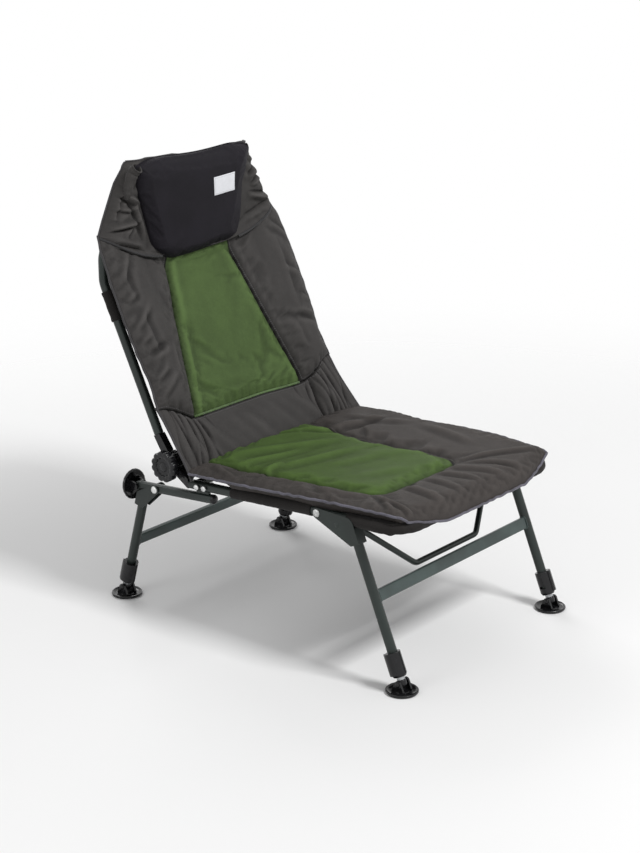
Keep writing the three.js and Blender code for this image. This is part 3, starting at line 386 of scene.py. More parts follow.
@dataclass(frozen=True)
class Lines:
    """Centre lines and fits that the tubes and the cover share."""

    rail_x: float = 260
    tube: float = 10
    wall: float = 1.4
    cloth: float = 1.6
    pivot: tuple[float, float] = (206, 325)
    rail_end: tuple[float, float] = (552, 301.5)
    bow: tuple[float, float] = (10, 328)
    bow_joint: float = 150
    bow_corner: float = 62
    hinge: tuple[float, float] = (600.7, 334.8)
    behind_hinge: float = 10
    lean: float = math.radians(26.4)
    tube_start: float = 68
    knee: float = 690
    shoulder: float = 748
    top: float = 903
    top_half: float = 150
    shoulder_radius: float = 45
    knee_softness: float = 40
    extension: tuple[float, float] = (490, 281.5)
    stand_pin: tuple[float, float] = (702, 263.5)

    @property
    def rail_slope(self) -> float:
        """Rise of the rails towards +Y behind the front pivot."""
        return (self.pivot[1] - self.rail_end[1]) / (self.pivot[0] - self.rail_end[0])

    @property
    def extension_slope(self) -> float:
        """Rise of the extension tubes towards +Y."""
        return (self.stand_pin[1] - self.extension[1]) / (self.stand_pin[0] - self.extension[0])

    @property
    def knee_y(self) -> float:
        """How far back the upright part of the back tube stands."""
        rise = self.knee - self.hinge[1]
        return self.hinge[0] + self.behind_hinge / math.cos(self.lean) + rise * math.tan(self.lean)

    def rail(self, y: Any) -> Array:
        """Height of the rail's centre line at y."""
        y = np.asarray(y, float)
        behind = self.pivot[1] + self.rail_slope * (y - self.pivot[0])
        share = (self.pivot[0] - y) / (self.pivot[0] - self.bow[0])
        return np.where(y > self.pivot[0], behind, lerp(self.pivot[1], self.bow[1], share))

    def back_foot(self, distance: float) -> tuple[float, float]:
        """(y, z) on the back tube's centre line, by its distance from the foot of the line at the hinge."""
        return (self.hinge[0] + self.behind_hinge * math.cos(self.lean) + distance * math.sin(self.lean),
                self.hinge[1] - self.behind_hinge * math.sin(self.lean) + distance * math.cos(self.lean))

    def on_lean(self, height: Any, behind: Any = 0.0) -> tuple[Array, Array]:
        """(y, z) on the leaning part of the back tube's line at a height, or square to it and behind it."""
        foot_y, foot_z = self.back_foot(0)
        y = foot_y + (height - foot_z) * math.tan(self.lean)
        return y + behind * math.cos(self.lean), height - behind * math.sin(self.lean)

    def bow_line(self, reach: float) -> Array:
        """The centre line of the bow, from a place on one rail round the front to the same on the other."""
        x, height = self.rail_x, float(self.rail(reach))
        half = [(x, reach, height), (x, *self.bow)]
        return bent([(-a, b, c) for a, b, c in half] + half[::-1], self.bow_corner)

    def on_back(self, height: Any, offset: Any) -> tuple[Array, Array]:
        """(y, z) of a point in front of the back tube's line, which leans and then stands upright.

        The line is knee_y - tan(lean) · (d + √(d² + s²)) / 2, with d the distance below the knee and s
        its softness, and the offset is square to it.

        Args:
            height: the height on the line.
            offset: the distance in front of it.

        Returns:
            The points' y and z.
        """
        below = self.knee - np.asarray(height, float)
        root = np.hypot(below, self.knee_softness)
        slope = math.tan(self.lean)
        turn = np.arctan(slope * (1 + below / root) / 2)
        return self.knee_y - slope * (below + root) / 2 - offset * np.cos(turn), height + offset * np.sin(turn)


LINES = Lines()


def to_row(points: Any) -> Array:
    """Points in metres of the shared frame."""
    return (np.asarray(points, float) - np.array([0, ORIGIN_Y, 0])) * MM


def from_row(points: Array) -> Array:
    """Points of the shared frame in the script's own millimetres."""
    return points / MM + np.array([0, ORIGIN_Y, 0])


# Shader writing


class Flow:
    """A value on a shader's socket that can be used in sums."""

    def __init__(self, shader: "Shader", socket: bpy.types.NodeSocket) -> None:
        """Keeps the socket and the shader that it belongs to."""
        self.shader = shader
        self.socket = socket

    def __add__(self, other: Any) -> "Flow":
        """self + other."""
        return self.shader.maths("ADD", self, other)

    __radd__ = __add__

    def __sub__(self, other: Any) -> "Flow":
        """self - other."""
        return self.shader.maths("SUBTRACT", self, other)

    def __rsub__(self, other: Any) -> "Flow":
        """other - self."""
        return self.shader.maths("SUBTRACT", other, self)

    def __mul__(self, other: Any) -> "Flow":
        """self × other."""
        return self.shader.maths("MULTIPLY", self, other)

    __rmul__ = __mul__

    def __truediv__(self, other: Any) -> "Flow":
        """self ÷ other."""
        return self.shader.maths("DIVIDE", self, other)

    def __pow__(self, other: Any) -> "Flow":
        """self to the power of other."""
        return self.shader.maths("POWER", self, other)

    def __abs__(self) -> "Flow":
        """The value without its sign."""
        return self.shader.maths("ABSOLUTE", self)

    def wave(self, pitch: float) -> "Flow":
        """sin(2π · value / pitch)."""
        return self.shader.maths("SINE", self * (2 * math.pi / pitch))

    def part(self) -> "Flow":
        """What is left of the value after its whole number."""
        return self.shader.maths("FRACT", self)

    def between(self, low: float, high: float) -> "Flow":
        """The value's smooth step from 0 at low to 1 at high."""
        inputs = {"Value": self, "From Min": low, "From Max": high}
        return self.shader.node("ShaderNodeMapRange", {"interpolation_type": "SMOOTHSTEP"}, inputs)

    def within(self, inner: float, outer: float) -> "Flow":
        """1 where the value is nearer to 0 than inner, fading to 0 at outer."""
        return (abs(self) * -1).between(-outer, -inner)

    def split(self) -> tuple["Flow", "Flow", "Flow"]:
        """The x, y and z of a vector."""
        first = self.shader.node("ShaderNodeSeparateXYZ", None, {0: self})
        return tuple(Flow(self.shader, out) for out in first.socket.node.outputs)


Value = Union[Flow, float, Sequence[float]]


def linear(colour: Colour, share: float = 1.0) -> tuple[float, float, float, float]:
    """A screen colour from 0 to 255, scaled by a share, as the linear colour that a shader takes."""
    screen = np.minimum(255, np.asarray(colour, float) * share) / 255
    flat = np.where(screen <= 0.04045, screen / 12.92, ((screen + 0.055) / 1.055) ** 2.4)
    return (*(float(c) for c in flat), 1.0)


class Shader:
    """One material under construction."""

    def __init__(self, name: str) -> None:
        """Starts an empty material of that name."""
        self.material = bpy.data.materials.new(name)
        self.material.use_nodes = True
        self.tree = self.material.node_tree
        self.tree.nodes.clear()

    def node(self, kind: str, settings: Optional[dict[str, Any]] = None,
             inputs: Optional[dict[Union[str, int], Value]] = None, output: Union[str, int] = 0) -> Flow:
        """Adds one node.

        Args:
            kind: the node's type.
            settings: its properties, set before the sockets.
            inputs: values or links of its sockets, by name or number.
            output: the socket that the result stands for.

        Returns:
            The value on that socket.
        """
        made = self.tree.nodes.new(kind)
        for key, value in (settings or {}).items():
            setattr(made, key, value)
        for key, value in (inputs or {}).items():
            if isinstance(value, Flow):
                self.tree.links.new(value.socket, made.inputs[key])
            else:
                made.inputs[key].default_value = value
        return Flow(self, made.outputs[output])

    def maths(self, operation: str, *values: Any) -> Flow:
        """A Math node on one or two values."""
        return self.node("ShaderNodeMath", {"operation": operation}, dict(enumerate(values)))

    def place(self) -> Flow:
        """The point in the object's own metres."""
        return self.node("ShaderNodeTexCoord", output="Object")

    def cloth_map(self) -> Flow:
        """The place on the cloth's own flat map, in metres."""
        return self.node("ShaderNodeUVMap", {"uv_map": "cloth"})

    def mark(self, name: str) -> Flow:
        """A value that the mesh keeps on its corners."""
        settings = {"attribute_name": name, "attribute_type": "GEOMETRY"}
        return self.node("ShaderNodeAttribute", settings, output="Fac")

    def stretched(self, where: Flow, scale: Sequence[float]) -> Flow:
        """A place scaled along each axis."""
        return self.node("ShaderNodeMapping", None, {"Vector": where, "Scale": scale})

    def noise(self, where: Flow, scale: float, detail: float = 2.0, rough: float = 0.5) -> Flow:
        """A cloudy value about 0.5, read at a place."""
        return self.node("ShaderNodeTexNoise", None,
                         {"Vector": where, "Scale": scale, "Detail": detail, "Roughness": rough})

    def stitches(self, off: float, half: float, pitch: float, gap: float) -> Flow:
        """A row of stitches beside a seam: 1 on the thread and 0 off it.

        Args:
            off: the row's distance from the seam.
            half: half the thread's width.
            pitch: the length of a stitch with its gap.
            gap: the gap's share of the pitch.

        Returns:
            The value.
        """
        step = (self.mark("run") / pitch).part()
        return (self.mark("seam") - off).within(half, half + 0.5) * step.between(gap, gap + 0.1)

    def mix(self, share: Value, first: Value, second: Value) -> Flow:
        """One colour fading into another by a share."""
        return self.node("ShaderNodeMix", {"data_type": "RGBA"}, {0: share, 6: first, 7: second}, 2)

    def toned(self, tone: Flow, low: float, high: float, colour: Colour, start: float, end: float) -> Flow:
        """A colour that goes from its start shade to its end shade as the tone goes from low to high."""
        return self.mix(tone.between(low, high), linear(colour, start), linear(colour, end))

    def relief(self, height: Flow, depth: float, under: Optional[Flow] = None) -> Flow:
        """A bump from a height of 0 to 1 over a depth in millimetres, on top of another bump."""
        inputs: dict[Union[str, int], Value] = {"Height": height, "Distance": depth * MM, "Strength": 1.0}
        if under is not None:
            inputs["Normal"] = under
        return self.node("ShaderNodeBump", None, inputs)

    def finish(self, colour: Value, roughness: Value, normal: Optional[Flow] = None,
               **constants: float) -> Material:
        """Closes the material with its surface.

        Args:
            colour: the base colour.
            roughness: the roughness.
            normal: the bump.
            constants: other sockets by name, with underscores for spaces.

        Returns:
            The material.
        """
        inputs: dict[Union[str, int], Value] = {"Base Color": colour, "Roughness": roughness}
        if normal is not None:
            inputs["Normal"] = normal
        for key, value in constants.items():
            inputs[key.replace("_", " ").title().replace("Ior", "IOR")] = value
        surface = self.node("ShaderNodeBsdfPrincipled", None, inputs)
        out = self.tree.nodes.new("ShaderNodeOutputMaterial")
        self.tree.links.new(surface.socket, out.inputs["Surface"])
        return self.material

    def fade(self, share: Flow) -> None:
        """Lets the surface go over into nothing by a share, so that what is behind it shows."""
        out = next(n for n in self.tree.nodes if n.type == "OUTPUT_MATERIAL")
        solid = out.inputs["Surface"].links[0].from_socket
        clear = self.node("ShaderNodeBsdfTransparent")
        mixed = self.node("ShaderNodeMixShader", None, {0: share, 1: Flow(self, solid), 2: clear})
        self.tree.links.new(mixed.socket, out.inputs["Surface"])


# Making pieces


def slot_of(material: Material) -> str:
    """The record's slot of a hard finish: its name, less the number that Blender adds to a name in use."""
    return material.name.split(".")[0]


class Workshop:
    """Turns shapes into finished pieces that ride on the frame's bodies."""

    def __init__(self, nodes: dict[str, Thing]) -> None:
        """Keeps the frame's nodes and starts the list of pieces."""
        self.nodes = nodes
        self.pieces: list[str] = []

    def mesh(self, name: str, shape: Shape, sharp: float) -> bpy.types.Mesh:
        """A mesh of a shape in metres, with its marks as attributes and its map as UVs.

        Args:
            name: the mesh's name.
            shape: the shape, in millimetres.
            sharp: the angle in degrees past which an edge stays sharp.

        Returns:
            The mesh.
        """
        made = bpy.data.meshes.new(name)
        faces = [face for group in shape.faces for face in group.tolist()]
        made.from_pydata(to_row(shape.points).tolist(), [], faces)
        for key, values in shape.marks.items():
            if key not in ("map_x", "map_y"):
                kept = made.attributes.new(key, "FLOAT", "POINT")
                kept.data.foreach_set("value", np.asarray(values, np.float32).ravel())
        if "map_x" in shape.marks:
            corner = np.zeros(len(made.loops), np.int32)
            made.loops.foreach_get("vertex_index", corner)
            flat = np.stack([shape.marks["map_x"].ravel(), shape.marks["map_y"].ravel()], -1)[corner] * MM
            made.uv_layers.new(name="cloth").data.foreach_set("uv", flat.astype(np.float32).ravel())
        made.validate()
        made.shade_smooth()
        made.set_sharp_from_angle(angle=math.radians(sharp))
        return made

    def piece(self, name: str, shape: Shape, material: Material, body: Optional[str],
              replaces: Iterable[str] = (), bevel: float = 0.0, slot: str = "", sharp: float = SHARP) -> Thing:
        """Adds one piece to the scene.

        Args:
            name: the piece's name.
            shape: its shape.
            material: its finish.
            body: the body that it rides on, or None for a piece left on no body.
            replaces: the nodes that it stands for.
            bevel: the width of the broken edges, or 0 for none.
            slot: the record's material slot; not used.
            sharp: the angle past which an edge stays sharp.

        Returns:
            The object.
        """
        made = bpy.data.objects.new(name, self.mesh(name, shape, sharp))
        return self._add(made, material, body, replaces, bevel, slot)

    def stand_in(self, node: str, look: str, shape: Shape, material: Material, body: str,
                 **how: float) -> Thing:
        """A piece named after the node that it replaces."""
        return self.piece(f"{node}_{look}", shape, material, body, [node], slot=slot_of(material), **how)

    def piping(self, name: str, line: Array, radius: float, up: Sequence[float], material: Material,
               body: Optional[str] = "back", sides: int = 10) -> Thing:
        """Round piping along a line, as a piece."""
        return self.piece(name, edging(line, radius, up, sides), material, body, sharp=80)

    def refit(self, node: str, material: Material, body: str, bevel: float) -> Thing:
        """A copy of a node with its flat faces whole, its edges broken and its round faces smooth."""
        copy = self.nodes[node].data.copy()
        copy.materials.clear()
        work = bmesh.new()
        work.from_mesh(copy)
        bmesh.ops.remove_doubles(work, verts=work.verts, dist=SAME_PLACE)
        bmesh.ops.dissolve_limit(work, angle_limit=math.radians(FLAT), verts=work.verts, edges=work.edges)
        work.to_mesh(copy)
        work.free()
        copy.shade_smooth()
        copy.set_sharp_from_angle(angle=math.radians(SHARP))
        made = bpy.data.objects.new(f"{node}_finished", copy)
        return self._add(made, material, body, [node], bevel, slot_of(material))

    def _add(self, made: Thing, material: Material, body: Optional[str], replaces: Iterable[str], bevel: float,
             slot: str) -> Thing:
        """Links a piece, gives it its broken edges and finish, and puts it on its body."""
        bpy.context.scene.collection.objects.link(made)
        made.data.materials.append(material)
        if bevel:
            broken = made.modifiers.new("broken_edges", "BEVEL")
            broken.width, broken.segments, broken.limit_method = bevel * MM, 2, "ANGLE"
            broken.angle_limit, broken.harden_normals = math.radians(SHARP), True
        if body:
            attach(made, body)
        if replaces:
            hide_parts(*replaces)
        self.pieces.append(made.name)
        LOG.info("%s: %d faces on %s", made.name, len(made.data.polygons), body or "two bodies")
        return made


# Finishes


@dataclass(frozen=True)
class CoverCloth:
    """Woven polyester cover cloth, with a middle panel of another colour inside the marked seam."""

    name: str
    ground: Colour
    panel: Colour
    thread: Colour
    pitch: float = 0.9
    gloss: float = 0.55

    def build(self) -> Material:
        """The cloth: plain weave sin(x) · sin(y) along the cloth's own map, slubs, painted shade in creases
        and painted highlight on ridges, painted shade along the sunk seam and a row of stitches beside it."""
        s = Shader(self.name)
        flat = s.cloth_map()
        x, y, _ = flat.split()
        weave = x.wave(self.pitch * MM) * y.wave(self.pitch * MM)
        warp, weft = (s.noise(s.stretched(flat, scale), 1.0, 3) for scale in ((60, 900, 1), (900, 60, 1)))
        slub = warp * 0.5 + weft * 0.5
        cloud = s.noise(s.place(), 9, 4, 0.55)
        fold = s.noise(s.place(), 34, 3, 0.6)
        seam = s.mark("seam")
        stitch = s.stitches(4.2, 0.4, 4.0, 0.34)
        # Painted shade and highlight: the mark 'hollow' darkens creases and lightens ridges; the rest of the
        # tone is the cloth's random variation
        tone = cloud * 0.2 + fold * 0.14 + slub * 0.3 + 0.18 - s.mark("hollow") * 0.05
        ground = s.toned(tone, 0.2, 0.8, self.ground, 0.66, 1.18)
        panel = s.toned(tone, 0.2, 0.8, self.panel, 0.72, 1.2)
        cloth = s.mix(seam.between(-0.5, 0.5), panel, ground)
        # Painted shade: the cloth goes dark along the sunk seam, over about 6 mm on each side of it
        cloth = s.mix(seam.within(0, 6) * 0.5 + seam.within(0.4, 2.0) * 0.45, cloth, linear(self.ground, 0.25))
        cloth = s.mix(stitch * 0.55, cloth, linear(self.thread))
        height = weave * 0.3 + slub * 0.5 + stitch * 0.9
        normal = s.relief(height, 0.16, s.relief(fold, 0.9, s.relief(cloud, 3.0)))
        rough = self.gloss + cloud * 0.18 + slub * 0.1
        return s.finish(cloth, rough, normal, sheen_weight=0.02, sheen_roughness=0.4, specular_ior_level=0.14)


@dataclass(frozen=True)
class PlainCloth:
    """Woven or knitted cloth of one colour, read at the object's own place."""

    name: str
    ground: Colour
    pitch: float = 1.0
    roughness: float = 0.7
    nap: float = 0.2

    def build(self) -> Material:
        """The cloth: ribs along three axes, fine lint and soft cloudy wear."""
        s = Shader(self.name)
        where = s.place()
        x, y, z = (axis.wave(self.pitch * MM) for axis in where.split())
        weave = x * 0.5 + y * 0.5 + z * 0.5
        lint = s.noise(where, 700, 2)
        cloud = s.noise(where, 11, 4, 0.55)
        colour = s.toned(cloud * 0.6 + lint * 0.4, 0.35, 0.7, self.ground, 0.85, 1.15)
        normal = s.relief(weave * 0.25 + lint, 0.12)
        return s.finish(colour, self.roughness + cloud * 0.14, normal, sheen_weight=self.nap,
                        sheen_roughness=0.45, specular_ior_level=0.14)


@dataclass(frozen=True)
class Paint:
    """Satin powder paint on steel tube."""

    name: str
    colour: Colour
    worn: Colour = (112, 118, 114)
    metallic: float = 0.35

    def build(self) -> Material:
        """The paint: orange peel, cloudy tone, scattered small scuffs that show lighter and duller."""
        s = Shader(self.name)
        where = s.place()
        cloud = s.noise(where, 14, 3)
        peel = s.noise(where, 420, 2)
        scuffs = s.noise(where, 160, 5, 0.7).between(0.66, 0.74) * s.noise(where, 26, 2).between(0.5, 0.62)
        colour = s.mix(scuffs * 0.5, s.toned(cloud, 0.3, 0.7, self.colour, 0.88, 1.1), linear(self.worn))
        rough = 0.34 + peel * 0.1 + scuffs * 0.2 + cloud * 0.06
        return s.finish(colour, rough, s.relief(peel, 0.08), metallic=self.metallic, coat_weight=0.12,
                        coat_roughness=0.2)


@dataclass(frozen=True)
class Moulding:
    """Glossy black moulded plastic."""

    name: str
    colour: Colour = (19, 19, 21)
    roughness: float = 0.15

    def build(self) -> Material:
        """The plastic: flow marks, faint sink and fine scratches that dull it."""
        s = Shader(self.name)
        where = s.place()
        flow = s.noise(s.stretched(where, (30, 30, 110)), 1.0, 3)
        grain = s.noise(where, 900, 2)
        rubbed = s.noise(where, 70, 4, 0.65).between(0.5, 0.75)
        colour = s.mix(rubbed * 0.6, linear(self.colour), linear(self.colour, 1.9))
        rough = self.roughness + rubbed * 0.2 + grain * 0.06
        return s.finish(colour, rough, s.relief(grain * 0.5 + flow, 0.05), specular_ior_level=0.36)


@dataclass(frozen=True)
class Steel:
    """Plated or drawn steel."""

    name: str
    colour: Colour = (216, 217, 216)
    roughness: float = 0.24

    def build(self) -> Material:
        """The steel: fine drawing lines along z, stains and a little tarnish."""
        s = Shader(self.name)
        where = s.place()
        lines = s.noise(s.stretched(where, (900, 900, 40)), 1.0, 2)
        stain = s.noise(where, 60, 4, 0.6)
        colour = s.toned(stain, 0.42, 0.72, self.colour, 1.0, 0.72)
        rough = self.roughness + stain * 0.16 + lines * 0.1
        return s.finish(colour, rough, s.relief(lines, 0.02), metallic=1.0)


@dataclass(frozen=True)
class Tape:
    """Ribbed edge binding, with its ribs across the run of the tape."""

    name: str
    colour: Colour
    pitch: float = 1.5

    def build(self) -> Material:
        """The tape: ribs from the distance along it, and lint."""
        s = Shader(self.name)
        rib = s.mark("run").wave(self.pitch)
        lint = s.noise(s.place(), 600, 3)
        cloud = s.noise(s.place(), 30, 3)
        colour = s.toned(lint * 0.5 + cloud * 0.5, 0.35, 0.65, self.colour, 0.78, 1.12)
        return s.finish(colour, 0.6 + lint * 0.2, s.relief(rib * 0.35 + lint * 0.6, 0.25), sheen_weight=0.15)


@dataclass(frozen=True)
class WovenLabel:
    """A bare woven label with a turned and stitched edge."""

    name: str
    colour: Colour = (243, 244, 249)
    weft: float = 0.7
    warp: float = 1.1

    def build(self) -> Material:
        """The label: fine satin ribs, a flat border and small stitches along it."""
        s = Shader(self.name)
        x, y, _ = s.cloth_map().split()
        ribs = y.wave(self.weft * MM) * 0.5 + x.wave(self.warp * MM) * 0.3
        lint = s.noise(s.place(), 500, 3)
        cloud = s.noise(s.place(), 60, 3)
        stitch = s.stitches(2.6, 0.3, 3.0, 0.4)
        colour = s.toned(cloud * 0.6 + lint * 0.4, 0.3, 0.7, self.colour, 0.96, 1.0)
        colour = s.mix(stitch * 0.6, colour, linear(self.colour, 0.62))
        return s.finish(colour, 0.55 + lint * 0.15, s.relief(ribs - stitch, 0.1), sheen_weight=0.1)


def built(finish: Any) -> Any:
    """A field that holds the finish's material."""
    return field(default_factory=finish.build)


@dataclass
class Finishes:
    """Every finish of the chair, built once. A hard one has the name of its slot in the record."""

    back_cloth: Material = built(CoverCloth("cover_cloth_back", (68, 66, 65), (78, 97, 57), (112, 110, 112)))
    seat_cloth: Material = built(CoverCloth("cover_cloth_seat", (66, 62, 60), (68, 88, 44), (106, 102, 100)))
    sling_cloth: Material = built(PlainCloth("sling_cloth", (40, 38, 37), 1.3, 0.72, 0.05))
    pillow_cloth: Material = built(PlainCloth("pillow_cloth", (31, 29, 34), 0.7, 0.66, 0.0))
    piping: Material = built(Tape("edge_piping", (92, 90, 101)))
    # Piping darker than the cloth: partly its own colour, partly painted shade along the edges of the pads,
    # band and hood
    dark_piping: Material = built(Tape("dark_piping", (50, 48, 50)))
    # Painted shadow: a near-black strip that stands for the shade under the hood's hem
    shadow_piping: Material = built(Tape("shadow_piping", (26, 25, 27)))
    green_piping: Material = built(Tape("green_piping", (84, 108, 62)))
    label: Material = built(WovenLabel("bare_label"))
    paint: Material = built(Paint("frame_paint", (35, 43, 40)))
    bar_paint: Material = built(Paint("crossbar_paint", (62, 74, 72)))
    plastic: Material = built(Moulding("black_plastic"))
    steel: Material = built(Steel("bright_steel"))
    leg_steel: Material = built(Steel("inner_leg_steel", (176, 178, 180), 0.3))


# Cloth


@dataclass(frozen=True)
class Fold:
    """A soft fold in cloth: a ridge from one point of the cloth to another, with a valley on one side."""

    start: tuple[float, float]
    end: tuple[float, float]
    width: float
    height: float

    def rise(self, x: Array, y: Array, crisp: float = 0.0) -> Array:
        """Height at (x, y): h · taper · (exp(-(d/w)²) - 0.55 · exp(-((d - 1.5w)/w)²)), with d the distance
        from the fold's line and a taper that is 1 at its middle and fades past its ends. A crisp fold has
        the cusp 0.8 · exp(-|d - 1.3w| / 0.45w) for its valley."""
        (x0, y0), (x1, y1) = self.start, self.end
        dx, dy = x1 - x0, y1 - y0
        length = math.hypot(dx, dy)
        along = ((x - x0) * dx + (y - y0) * dy) / length**2
        off = ((x - x0) * dy - (y - y0) * dx) / length
        taper = ease(-0.12, 0.3, along) * (1 - ease(0.7, 1.12, along))
        soft = 0.55 * bell(off - 1.5 * self.width, self.width)
        cusp = 0.8 * np.exp(-abs(off - 1.3 * self.width) / (0.45 * self.width))
        return self.height * taper * (bell(off, self.width) - lerp(soft, cusp, crisp))


def folds_of(*rows: tuple[float, ...]) -> tuple[Fold, ...]:
    """Folds from rows of start x, start y, end x, end y, width and height."""
    return tuple(Fold(row[:2], row[2:4], *row[4:]) for row in rows)


def crowded(count: int, share: float = 0.84) -> Array:
    """Values from -1 to 1 that lie closer together towards both ends: sin(q · a) / sin(a)."""
    angle = math.pi / 2 * share
    return np.sin(np.linspace(-1, 1, count) * angle) / math.sin(angle)


def crowded_grid(rows: int, columns: int, down: float = 0.8, across: float = 0.84) -> tuple[Array, Array]:
    """Shares from -1 to 1 across and from 0 to 1 along, closer together towards every edge."""
    return np.meshgrid(crowded(columns, across), (crowded(rows, down) + 1) / 2)


def closed_pad(front: Array, rear: Array, marks: dict[str, Array]) -> Shape:
    """A pad closed from a front and a rear grid of points, joined all round by a strip.

    Args:
        front: the front sheet, as rows × columns × 3.
        rear: the rear sheet over the same grid.
        marks: values on the front sheet; the rear takes the same, but is plain and far outside any seam.

    Returns:
        The closed pad, facing out.
    """
    rows, columns = front.shape[:2]
    count = rows * columns
    index = np.arange(count).reshape(rows, columns)
    rim = np.concatenate([index[0, :-1], index[:-1, -1], index[-1, :0:-1], index[:0:-1, 0]])
    after = np.roll(rim, -1)
    strip = np.stack([rim, rim + count, after + count, after], -1)
    faces = [quads(rows, columns), quads(rows, columns)[:, ::-1] + count, strip]
    quiet = {"seam": NO_SEAM, "hollow": 0.0}
    both = {}
    for key, value in marks.items():
        behind = np.full(count, quiet[key]) if key in quiet else value.ravel()
        both[key] = np.concatenate([value.ravel(), behind])
    return Shape(np.concatenate([front.reshape(-1, 3), rear.reshape(-1, 3)]), faces, both).outward()


def edging(path: Array, radius: float, up: Sequence[float], sides: int) -> Shape:
    """Round piping along a path, with the distance along it kept as the mark "run"."""
    made = ring_body(carried(path, circle(sides) * radius, up))
    made.marks = {"run": np.repeat(travelled(path), sides)}
    return made


def side_line(front: Array, rear: Array, side: Side, share: float, out: float) -> Array:
    """The line down one side of a pad, at a share of the way to its rear sheet and moved out of the pad."""
    column = 0 if side is Side.RIGHT else -1
    return spaced(lerp(front[:, column], rear[:, column], share), 2.5) + np.array([side.value * out, 0, 0])


@dataclass(frozen=True)
class Stuffing:
    """Swells a sheet like stuffed cloth: a short cloth simulation with air pressure, held at its seams."""

    pressure: float = 1.6
    cap: float = 4.0
    slack: float = 0.02
    frames: int = 16
    levels: int = 6
    mass: float = 0.25
    stiffness: float = 18
    bending: float = 0.4

    def swell(self, sheet: Array, hold: Array) -> Array:
        """The sheet after the simulation, with no point further than the cap from where it was.

        Args:
            sheet: rows × columns × 3 points.
            hold: how firmly each point is held, from 0 to 1.

        Returns:
            The moved points, in the same order.
        """
        rows, columns = sheet.shape[:2]
        mesh = bpy.data.meshes.new("stuffing")
        mesh.from_pydata(to_row(sheet.reshape(-1, 3)).tolist(), [], quads(rows, columns).tolist())
        body = bpy.data.objects.new("stuffing", mesh)
        bpy.context.scene.collection.objects.link(body)
        held = body.vertex_groups.new(name="held")
        firm = np.rint(np.clip(hold.ravel(), 0, 1) * self.levels).astype(int)
        for level in range(1, self.levels + 1):
            held.add(np.flatnonzero(firm == level).tolist(), level / self.levels, "REPLACE")
        cloth = body.modifiers.new("cloth", "CLOTH")
        cloth.collision_settings.use_collision = False
        settings = cloth.settings
        settings.quality = 4
        settings.mass = self.mass
        settings.tension_stiffness = settings.compression_stiffness = self.stiffness
        settings.bending_stiffness = self.bending
        settings.vertex_group_mass = "held"
        settings.shrink_min = -self.slack
        settings.use_pressure = True
        settings.uniform_pressure_force = self.pressure
        settings.effector_weights.gravity = 0
        scene = bpy.context.scene
        for frame in range(1, self.frames + 1):
            scene.frame_set(frame)
        done = body.evaluated_get(bpy.context.evaluated_depsgraph_get()).to_mesh()
        moved = np.zeros(rows * columns * 3, np.float32)
        done.vertices.foreach_get("co", moved)
        bpy.data.objects.remove(body)
        scene.frame_set(1)
        step = from_row(moved.reshape(sheet.shape)) - sheet
        far = np.linalg.norm(step, axis=-1, keepdims=True)
        return sheet + step * np.minimum(1, self.cap / np.maximum(far, 1e-6))

    def puffed(self, sheet: Array, seam: Array, last: int) -> Array:
        """A pad's sheet swollen between its rim, which is two rows or columns wide, and its seam."""
        hold = np.ones_like(seam)
        hold[2:-last, 2:-2] = 0
        return self.swell(sheet, np.maximum(hold, bell(seam, 4.5)))


# Lines of the cover


@dataclass(frozen=True)
class CoverLines:
    """Seams and depths that the padded pieces share. Depth is counted back from the rim's straight line."""

    rim: tuple[float, float] = (625, 448)
    middle_drop: float = 33
    level_share: float = 0.62
    high: float = 786
    dip: float = 62
    dish: float = 18
    bolster: float = 7
    thickness: float = 25.5
    behind: float = 12.8
    seat_rear: tuple[float, float] = (562, 535)
    seat_half: tuple[tuple[float, float], ...] = (
        (-8, 243), (18, 247), (30, 253.6), (158, 267), (247, 272.6), (354, 275.5), (441, 283), (540, 283.5))
    seat_rim: tuple[tuple[float, float], ...] = (
        (-8, 345), (30, 355), (158, 354), (247, 349), (354, 341), (441, 338), (540, 332))
    back_half: tuple[tuple[float, float], ...] = (
        (448, 274.6), (501, 268.5), (553, 275), (624, 277.3), (685, 276.9), (753, 271.6), (790, 258.5))
    hood_edge: tuple[tuple[float, float, float], ...] = (
        (784, 259.5, 799), (811, 240, 806), (856, 219, 804.8), (888, 206, 801.5), (922, 189, 791),
        (936, 176, 784))
    pillow_half: tuple[tuple[float, float], ...] = (
        (711, 128), (744, 138), (764.5, 145), (820, 163), (866, 176), (909, 178), (925, 172))

    def on_pad(self, height: Any, depth: Any, ahead: Any) -> tuple[Array, Array]:
        """(y, z) on the back pad: rim + (h - rim z) · tan(lean) + depth · cos(lean), kept that far ahead of
        the upright part of the tube."""
        y = self.rim[0] + (height - self.rim[1]) * math.tan(LINES.lean) + depth * math.cos(LINES.lean)
        return np.minimum(y, LINES.on_back(LINES.shoulder, ahead)[0]), height - depth * math.sin(LINES.lean)

    def low_seam(self, u: Array) -> Array:
        """Height of the pad's lower seam at a share of its half-width."""
        return self.rim[1] - self.middle_drop * (1 - ease(self.level_share, 1, abs(u))) - 5 * ease(0.1, 0.6, u)

    def high_seam(self, u: Array) -> Array:
        """Height of the seam between back pad and hood."""
        return self.high - self.dip * (1 - abs(u) ** 3)

    def face_depth(self, u: Array) -> Array:
        """Depth of the pad's face: dished over the middle panel, with a bolster along each side."""
        across = np.maximum((abs(u) - self.level_share) / (1 - self.level_share), 0)
        return self.dish * (1 - abs(u) ** 3) - self.bolster * 4 * across * (1 - across)

    def rear_edge(self, u: Array) -> Array:
        """How far back the seat pad reaches."""
        return lerp(*self.seat_rear, abs(u) ** 6)

    @staticmethod
    def table(pairs: Sequence[Sequence[float]], at: Any, column: int = 1) -> Array:
        """A column of a table, read between its rows."""
        rows = np.asarray(pairs, float)
        return np.interp(at, rows[:, 0], rows[:, column])


COVER = CoverLines()


